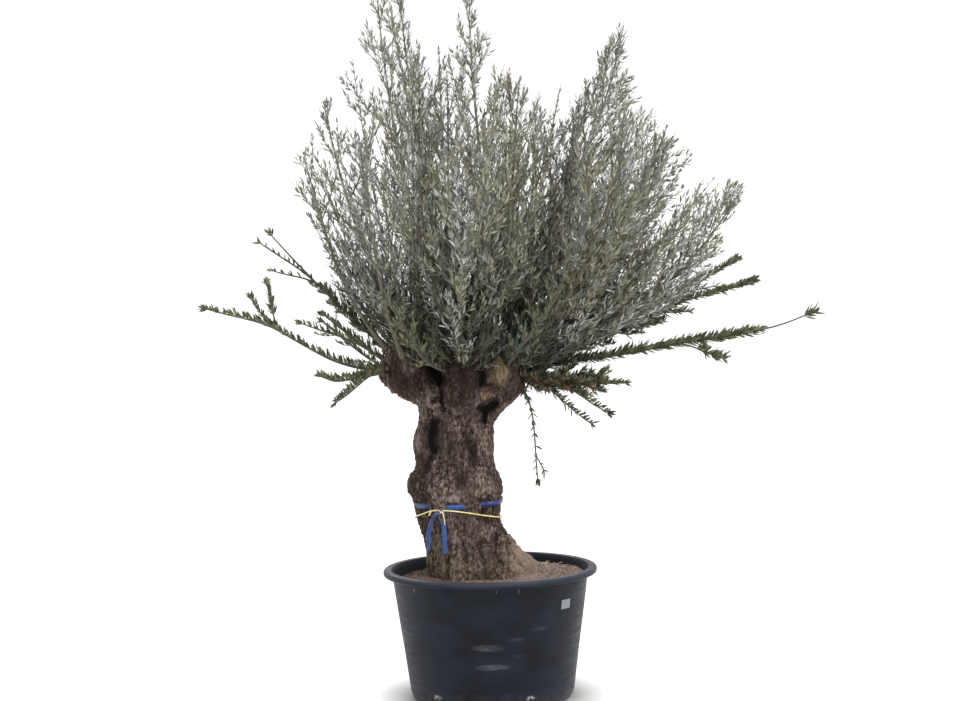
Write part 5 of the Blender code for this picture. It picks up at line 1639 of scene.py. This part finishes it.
def build_boughs(leaders, settings):
    """The boughs: round limbs with a swollen collar at the foot and low knots, from inside the head
    to a little past where the foliage starts."""
    paths = np.stack([resample(path, 0.0, BOUGH_SHARE * 1.25, 60) for limb, path in leaders])
    run = np.linspace(0, 1.25, 61)
    radii = np.interp(run, (0, 1, 1.25), (BOUGH_RADIUS, STEM_RADIUS, STEM_RADIUS * 0.92))
    foot = np.stack([head_exit(limb, path) for limb, path in leaders])
    gap = np.linalg.norm(paths - foot[:, None], axis=2)
    swell = 1 + COLLAR_SWELL * np.exp(-gap / COLLAR_REACH)
    knots = lattice_noise(paths.reshape(-1, 3), 0.035, 91).reshape(gap.shape)
    shape = tubes(paths, radii * swell * (1 + BOUGH_KNOTS * knots), 20)
    boughs = new_piece("bough_bark", shape, [shoot_bark_material(settings)])
    add_to_tree(boughs, "shoot_bark", *(f"bough_{limb.name}" for limb, path in leaders))


# Tie and label


def strand_height(angle):
    """The strand: highest at the knot and low round the back."""
    turn = angle_from(angle, KNOT_AZIMUTH)
    spread = np.where(turn < 0, *STRAND_SPREAD)
    return STRAND_LOW + (STRAND_HIGH - STRAND_LOW) * np.exp(-((turn / spread) ** 2))


def ribbon_height(angle):
    """The ribbon: lowest at the knot and a little higher round the back."""
    return TIE_HEIGHT + TIE_RISE * (1 - np.cos(angle - KNOT_AZIMUTH)) / 2


def ribbon_shape():
    """The ribbon round the trunk: a flat strip whose section is turned round the trunk's outline,
    a little wavy, as rings of four corners."""
    angle = full_turn(240)
    sunk = TIE_SUNK * hidden_tie(angle)
    rings = []
    for rise, proud in ((-1, -RIBBON_THICKNESS), (1, -RIBBON_THICKNESS), (1, 0.0), (-1, 0.0)):
        fold = 0.0016 * np.sin(11 * angle + 2 * rise)
        height = ribbon_height(angle) + rise * TIE_WIDTH / 2
        rings.append(trunk_surface(angle, height, TIE_PROUD + proud + fold - sunk))
    points = np.stack(rings, axis=1)
    faces = grid_faces(len(angle) + 1, 4) % (len(angle) * 4)
    return points.reshape(-1, 3), [faces[:, ::-1]]


def strand_shape():
    """The strand as a closed ring of round section about the trunk."""
    angle = full_turn(220)
    path = trunk_surface(angle, strand_height(angle), TIE_PROUD)
    way = unit(np.roll(path, -1, axis=0) - np.roll(path, 1, axis=0))
    side, other = across(way)
    turn = full_turn(8)
    ring = side[:, None] * np.cos(turn)[:, None] + other[:, None] * np.sin(turn)[:, None]
    points = path[:, None] + ring * STRAND_RADIUS
    faces = grid_faces(len(angle) + 1, 8) % (len(angle) * 8)
    return points.reshape(-1, 3), [faces]


def knot_frame():
    """The knot's middle, and the directions out of the trunk and to the right there."""
    middle = trunk_surface(np.array([KNOT_AZIMUTH]), np.array([KNOT_HEIGHT]), TIE_PROUD)[0]
    out = np.array((math.cos(KNOT_AZIMUTH), math.sin(KNOT_AZIMUTH), 0.0))
    side = np.array((-out[1], out[0], 0.0))
    return middle, out, side


def strip_shape(steps, widths, thickness, twist):
    """A flat strip that hangs from the knot along a route of (sideways, down, out) steps, smoothed by
    a running mean of seven points. Its section of four corners turns by twist."""
    middle, out, side = knot_frame()
    route = [middle + side * aside - UP * down + out * away for aside, down, away in steps]
    path = resample(np.array(route, float), 0, 1, 40)
    padded = np.pad(path, ((3, 3), (0, 0)), "edge").T
    path = np.stack([np.convolve(row, np.ones(7) / 7, "valid") for row in padded], axis=1)
    t = np.linspace(0, 1, len(path))
    width = np.interp(t, np.linspace(0, 1, len(widths)), widths)
    turn = np.interp(t, np.linspace(0, 1, len(twist)), twist)
    flat = side * np.cos(turn)[:, None] + out * np.sin(turn)[:, None]
    face = out * np.cos(turn)[:, None] - side * np.sin(turn)[:, None]
    corners = [
        path + flat * (width * i / 2)[:, None] + face * thickness * j / 2
        for i, j in ((-1, -1), (1, -1), (1, 1), (-1, 1))
    ]
    return closed_surface(np.stack(corners, axis=1), path[0], path[-1])


TIE_STRIPS = {  # steps from the knot sideways, down and out, widths, thickness, turns of the section
    "tie_tail_rim": (
        ((-0.012, -0.004, 0.012), (-0.044, 0.05, 0.014), (-0.061, 0.11, 0.014), (-0.055, 0.185, 0.014)),
        (0.004, 0.007, 0.006, 0.004), 0.0016, (0.0, 0.0),
    ),
    "tie_strand_bow": (
        ((-0.050, 0.020, 0.010), (-0.034, -0.006, 0.014), (-0.012, -0.012, 0.016),
         (0.012, -0.006, 0.018), (0.018, 0.004, 0.014), (-0.004, 0.006, 0.018)),
        (0.006, 0.006), 0.0040, (0.0, 0.0),
    ),
    "tie_tail_front": (
        ((0.018, -0.004, 0.006), (0.025, 0.06, 0.012), (0.028, 0.12, 0.010), (0.027, 0.196, 0.012)),
        (0.010, TAIL_WIDTH, TAIL_WIDTH, TAIL_WIDTH * 0.9), 0.0008, (0.3, 0.1, -0.15, 0.1),
    ),
    "tie_tail_curved": (
        ((-0.006, 0.0, 0.006), (-0.034, 0.05, 0.010), (-0.052, 0.11, 0.010), (-0.048, 0.185, 0.012)),
        (0.006, 0.010, 0.018, 0.008), 0.0008, (0.5, 0.2, -0.2, 0.4),
    ),
    "tie_strand_end": (
        ((0.020, -0.004, 0.012), (0.030, 0.03, 0.014), (0.0325, 0.060, 0.014)),
        (0.005, 0.004, 0.002), 0.0030, (0.0, 0.0),
    ),
}
KNOT_LOOPS = ((-0.008, -0.004, 0.011, 3), (0.007, 0.003, 0.010, 4))  # sideways, up, radius, seed


def knot_shape():
    """The knot's two loops, side by side."""
    middle, out, side = knot_frame()
    return joined(
        burr_shape(middle + side * aside + UP * rise + out * 0.004, radius, seed)
        for aside, rise, radius, seed in KNOT_LOOPS
    )


def build_tie(settings):
    """The ribbon, the strand, the knot, the tails, the violet rim of one and the strand's ends."""
    blue = ribbon_material("blue_polypropylene_tape", settings.ribbon_colour, "#335F95")
    violet = ribbon_material("faded_violet_tape", "#33367A", "#8478A8")
    yellow = strand_material(settings)
    shapes = {name: strip_shape(*strip) for name, strip in TIE_STRIPS.items()}
    shapes |= {"tie_ribbon": ribbon_shape(), "tie_strand": strand_shape(), "tie_knot": knot_shape()}
    for name, material in (
        ("tie_tail_rim", violet),
        ("tie_strand_bow", yellow),
        ("tie_ribbon", blue),
        ("tie_tail_front", blue),
        ("tie_tail_curved", blue),
        ("tie_strand", yellow),
        ("tie_strand_end", yellow),
        ("tie_knot", violet),
    ):
        piece = new_piece(name, shapes[name], [material], name != "tie_knot")
        add_to_tree(piece, "ribbon", *(["tie"] if name == "tie_ribbon" else []))


def build_label(settings):
    """The sticker: a sheet bent round the wall, point (u, v) at radius r(z) + p, where p lifts the
    corners a little, with its back 0.4 mm behind it."""
    width, height = LABEL_SIZE
    u, v = np.meshgrid(np.linspace(-1, 1, 13), np.linspace(-1, 1, 9))
    corner = np.maximum(np.abs(u), np.abs(v)) ** 6
    z = LABEL_HEIGHT + v * height / 2
    angle = LABEL_AZIMUTH + u * width / 2 / wall_radius(LABEL_HEIGHT)
    sheets = []
    for lift in (0.0018, 0.0013):
        radius = wall_radius(z) + lift + 0.0012 * corner * (u > 0)
        sheets.append(polar(radius, angle, z))
    front, back = sheets
    size = front.shape[0] * front.shape[1]
    quads = grid_faces(*front.shape[:2], closed=False)
    index = np.arange(size).reshape(front.shape[:2])
    rim = np.concatenate([index[0, :-1], index[:-1, -1], index[-1, :0:-1], index[:0:-1, 0]])
    onward = np.roll(rim, -1)
    edge = np.stack([rim, rim + size, onward + size, onward], axis=1)
    points = np.concatenate([front.reshape(-1, 3), back.reshape(-1, 3)])
    shape = points, [quads, quads[:, ::-1] + size, edge]
    label = new_piece("blank_label", shape, [paper_material(settings)])
    label.data.set_sharp_from_angle(angle=SHARP_ANGLE)
    add_to_tree(label, "label_paper", "label")


# Stage


def floor_material(settings):
    """Studio paper: to the camera grey right round the container, a painted shadow, and glowing white away
    from it.
    """
    material, tree = new_material("studio_paper")
    add = partial(add_node, tree)
    distance = add("VectorMath", add("TexCoord", output="Object"), output="Value", operation="LENGTH")
    seen = add("LightPath", output="Is Camera Ray")
    away = add("MapRange", distance, 0.385, 0.60, 0.0, 0.75)
    glow = add("Math", away, seen, operation="MULTIPLY")
    # painted shadow: the camera sees grey paper, which the glow turns white away from the container
    colour = painted(tree, settings.floor_colour, (seen, "#A4A4A2"))
    return finished(material, colour, Roughness=0.9, Emission_Color="#FFFFFF", Emission_Strength=glow)


def sky(settings):
    """White to the camera. As light it is strong overhead and weak near the ground."""
    world = bpy.data.worlds.new("studio_sky")
    world.use_nodes = True
    tree = world.node_tree
    add = partial(add_node, tree)
    height = add("SeparateXYZ", add("TexCoord", output="Generated"), output="Z")
    power = add("MapRange", height, -0.1, 1.0, 0.30 * settings.sky_light, 1.6 * settings.sky_light)
    seen = add("LightPath", output="Is Camera Ray")
    strength = add("Mix", inputs={0: seen, 2: power, 3: 1.05}, data_type="FLOAT")
    background = tree.nodes["Background"]
    connect(tree, background.inputs["Color"], "#FFFFFF")
    connect(tree, background.inputs["Strength"], strength)
    return world


def floor_shape():
    """A pale bowl: a flat floor that turns up into a low wall far away, r and z by a quarter arc."""
    turn = np.linspace(0, np.pi / 2, 24)
    profile = [(0.3, 0.0), (2.0, 0.0), (6.0, 0.0), (14.0, 0.0)]
    profile += [(14.0 + 6 * math.sin(t), 6 * (1 - math.cos(t))) for t in turn[1:]]
    points = np.concatenate([turned(profile, 96).reshape(-1, 3), [(0, 0, 0)]])
    return points, [grid_faces(len(profile), 96)[:, ::-1], fan_faces(len(points) - 1, 0, 96)]


def look_along(direction):
    """A turn that points a lamp's -Z along a direction."""
    back = unit(-direction)
    side = unit(np.cross(UP, back))
    up = np.cross(back, side)
    return Matrix([(*row, 0.0) for row in np.stack([side, up, back], axis=1)] + [(0, 0, 0, 1)])


def build_stage(settings):
    """The floor, the sky, a key lamp at the front right, a rim lamp behind and the camera."""
    new_piece("studio_floor", floor_shape(), [floor_material(settings)])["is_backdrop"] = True
    bpy.context.scene.world = sky(settings)
    for name, place, power, size in (
        ("key_light", (3.4, -4.6, 6.4), settings.key_light, 3.5),
        ("rim_light", (-1.5, 5.5, 6.0), settings.key_light * 0.5, 4.0),
    ):
        light = bpy.data.lights.new(name, "AREA")
        light.energy = power
        light.size = size
        lamp = bpy.data.objects.new(name, light)
        bpy.context.scene.collection.objects.link(lamp)
        lamp.matrix_world = Matrix.Translation(place) @ look_along(LAMP_TARGET - np.array(place))

    camera = bpy.data.objects.new("camera", bpy.data.cameras.new("camera"))
    bpy.context.scene.collection.objects.link(camera)
    camera.data.lens = CAMERA_LENS
    camera.data.sensor_fit = "HORIZONTAL"
    camera.matrix_world = (
        Matrix.Translation(CAMERA_PLACE)
        @ Matrix.Rotation(math.radians(90), 4, "X")
        @ Matrix.Rotation(CAMERA_ROLL, 4, "Z")
    )
    bpy.context.scene.camera = camera
    bpy.context.scene.view_settings.view_transform = "Standard"


# Settings


class ContainerSettings(bpy.types.PropertyGroup):
    wall_colour: colour_property("Wall", "Colour of the container's plastic", "#161B27")
    soil_colour: colour_property("Soil", "Colour of the soil's pale patches", "#7F6F67")
    label_colour: colour_property("Label", "Colour of the blank sticker", "#70767F")


class BarkSettings(bpy.types.PropertyGroup):
    bark_grid: length_property("Grid", "Distance between the points of the bark", 0.0059, 0.002, 0.02)
    bark_depth: FloatProperty(
        name="Depth", description="How deep the bark's relief is", default=1.0, min=0, max=2, subtype="FACTOR"
    )
    lichen_colour: colour_property("Lichen", "Colour of the pale flecks", "#8F827B")
    moss_colour: colour_property("Moss", "Colour of the mossy foot", "#6C6444")
    # dark bark at the bottom of the cracks, deepened by painted shade
    crack_and_shade_colour: colour_property("Cracks", "Colour at the bottom of the cracks", "#1C130F")
    bough_colour: colour_property("Boughs", "Colour of the young bark", "#5F5A48")


class CrownSettings(bpy.types.PropertyGroup):
    leaf_length: length_property("Leaf length", "Length of a full leaf", 0.044, 0.01, 0.3)
    leaf_width: length_property("Leaf width", "Width of a full leaf", 0.0094, 0.002, 0.1)
    leaf_spacing: length_property("Leaf spacing", "Distance between pairs of leaves", 0.0230, 0.005, 0.2)
    twig_spacing: length_property("Twig spacing", "Distance between pairs of twigs", 0.085, 0.01, 0.5)
    shoot_spacing: length_property("Shoot spacing", "Distance between pairs of shoots", 0.095, 0.01, 0.5)
    seed: IntProperty(name="Seed", description="Changes the crown's random draws", default=100, min=0)


class TieSettings(bpy.types.PropertyGroup):
    ribbon_colour: colour_property("Ribbon", "Colour of the blue ribbon", "#173F80")
    strand_colour: colour_property("Strand", "Colour of the yellow strand", "#D3C65A")


class StageSettings(bpy.types.PropertyGroup):
    floor_colour: colour_property("Floor", "Colour of the floor", "#F4F4F2")
    sky_light: FloatProperty(name="Sky", description="Strength of the even light", default=1.0, min=0)
    key_light: FloatProperty(
        name="Key", description="Power of the main lamp", default=420, min=0, unit="POWER"
    )


def evened(path):
    """A path with its small corners rounded, by a running mean of five points."""
    padded = np.pad(path, ((2, 2), (0, 0)), "edge")
    return np.mean([padded[i : i + len(path)] for i in range(5)], axis=0)


def limb_paths():
    """Every leader with its path, and every spray with its paths."""
    leaders = [(limb, limb_path(limb, LEADER_UPTURN)) for limb in LEADERS]
    sprays = []
    for limb in SPRAYS:
        path = limb_path(limb, HANGING_TURN if limb.name == "hanging" else SPRAY_UPTURN)
        if limb.name in SAGS:
            path[:, 2] += np.interp(np.linspace(0, 1, len(path)), *SAGS[limb.name])
        path = evened(path)
        sprays.append((limb, [path, *(fork_path(path, *fork[:2]) for fork in limb.forks)]))
    return leaders, sprays


# Operators


class OLIVE_OT_container(bpy.types.Operator):
    """Builds the container with its gussets and drain holes"""

    bl_idname = "olive.container"
    bl_label = "Container"

    def execute(self, context):
        build_pot(context.scene.olive_container)
        return {"FINISHED"}


class OLIVE_OT_soil(bpy.types.Operator):
    """Builds the soil with its crumbs and straw"""

    bl_idname = "olive.soil"
    bl_label = "Soil"

    def execute(self, context):
        build_soil(context.scene.olive_container)
        return {"FINISHED"}


class OLIVE_OT_trunk(bpy.types.Operator):
    """Builds the bark of the trunk and the heads"""

    bl_idname = "olive.trunk"
    bl_label = "Trunk"

    def execute(self, context):
        leaders, sprays = limb_paths()
        limbs = leaders + [(limb, shoots[0]) for limb, shoots in sprays]
        build_trunk(context.scene.olive_bark, limbs)
        return {"FINISHED"}


class OLIVE_OT_boughs(bpy.types.Operator):
    """Builds the boughs that rise from the heads"""

    bl_idname = "olive.boughs"
    bl_label = "Boughs"

    def execute(self, context):
        build_boughs(limb_paths()[0], context.scene.olive_bark)
        return {"FINISHED"}


class OLIVE_OT_crown(bpy.types.Operator):
    """Grows the shoots, twigs and leaves of every head and spray"""

    bl_idname = "olive.crown"
    bl_label = "Crown"

    def execute(self, context):
        settings = context.scene.olive_crown
        leaders, sprays = limb_paths()
        leaf_kinds = leaf_materials()
        twig_kinds = [plain_material("olive_twig_bark", "#5E5B4B", 0.8)]
        spray_kinds = [plain_material("olive_spray_bark", "#48453B", 0.8)]
        for number, head in enumerate(HEADS.values()):
            own = [(limb, path) for limb, path in leaders if limb.head == head.name]
            build_crown(head, own, settings, leaf_kinds, twig_kinds, settings.seed + number)
        build_sprays(sprays, leaf_kinds, spray_kinds, settings.seed + len(HEADS))
        return {"FINISHED"}


class OLIVE_OT_tie(bpy.types.Operator):
    """Builds the ribbon, the strand, the knot and the tails"""

    bl_idname = "olive.tie"
    bl_label = "Tie"

    def execute(self, context):
        build_tie(context.scene.olive_tie)
        return {"FINISHED"}


class OLIVE_OT_label(bpy.types.Operator):
    """Builds the blank sticker on the container"""

    bl_idname = "olive.label"
    bl_label = "Label"

    def execute(self, context):
        build_label(context.scene.olive_container)
        return {"FINISHED"}


class OLIVE_OT_stage(bpy.types.Operator):
    """Sets up the floor, the lamps and the camera"""

    bl_idname = "olive.stage"
    bl_label = "Stage"

    def execute(self, context):
        build_stage(context.scene.olive_stage)
        return {"FINISHED"}


OPERATORS = (
    OLIVE_OT_stage,
    OLIVE_OT_container,
    OLIVE_OT_soil,
    OLIVE_OT_trunk,
    OLIVE_OT_boughs,
    OLIVE_OT_crown,
    OLIVE_OT_tie,
    OLIVE_OT_label,
)
SETTINGS = {
    "olive_container": ContainerSettings,
    "olive_bark": BarkSettings,
    "olive_crown": CrownSettings,
    "olive_tie": TieSettings,
    "olive_stage": StageSettings,
}


class OLIVE_PT_tree(bpy.types.Panel):
    """Lists what can be built and its settings"""

    bl_idname = "OLIVE_PT_tree"
    bl_label = "Potted Olive Tree"
    bl_space_type = "VIEW_3D"
    bl_region_type = "UI"
    bl_category = "Olive"

    def draw(self, context):
        for name in SETTINGS:
            box = self.layout.box()
            for field in SETTINGS[name].__annotations__:
                box.prop(getattr(context.scene, name), field)
        for operator in OPERATORS:
            self.layout.operator(operator.bl_idname)


def register():
    """Adds the settings to every scene, and the operators and the panel."""
    for group in (*SETTINGS.values(), *OPERATORS, OLIVE_PT_tree):
        bpy.utils.register_class(group)
    for name, group in SETTINGS.items():
        setattr(bpy.types.Scene, name, PointerProperty(type=group))


def unregister():
    """Takes away what register adds."""
    for name in SETTINGS:
        delattr(bpy.types.Scene, name)
    for group in (OLIVE_PT_tree, *OPERATORS, *SETTINGS.values()):
        bpy.utils.unregister_class(group)


def main():
    """Builds the stage and every piece."""
    register()
    bpy.ops.olive.stage()
    bpy.ops.olive.container()
    bpy.ops.olive.soil()
    bpy.ops.olive.trunk()
    bpy.ops.olive.boughs()
    bpy.ops.olive.crown()
    bpy.ops.olive.tie()
    bpy.ops.olive.label()


if __name__ == "__main__":
    main()
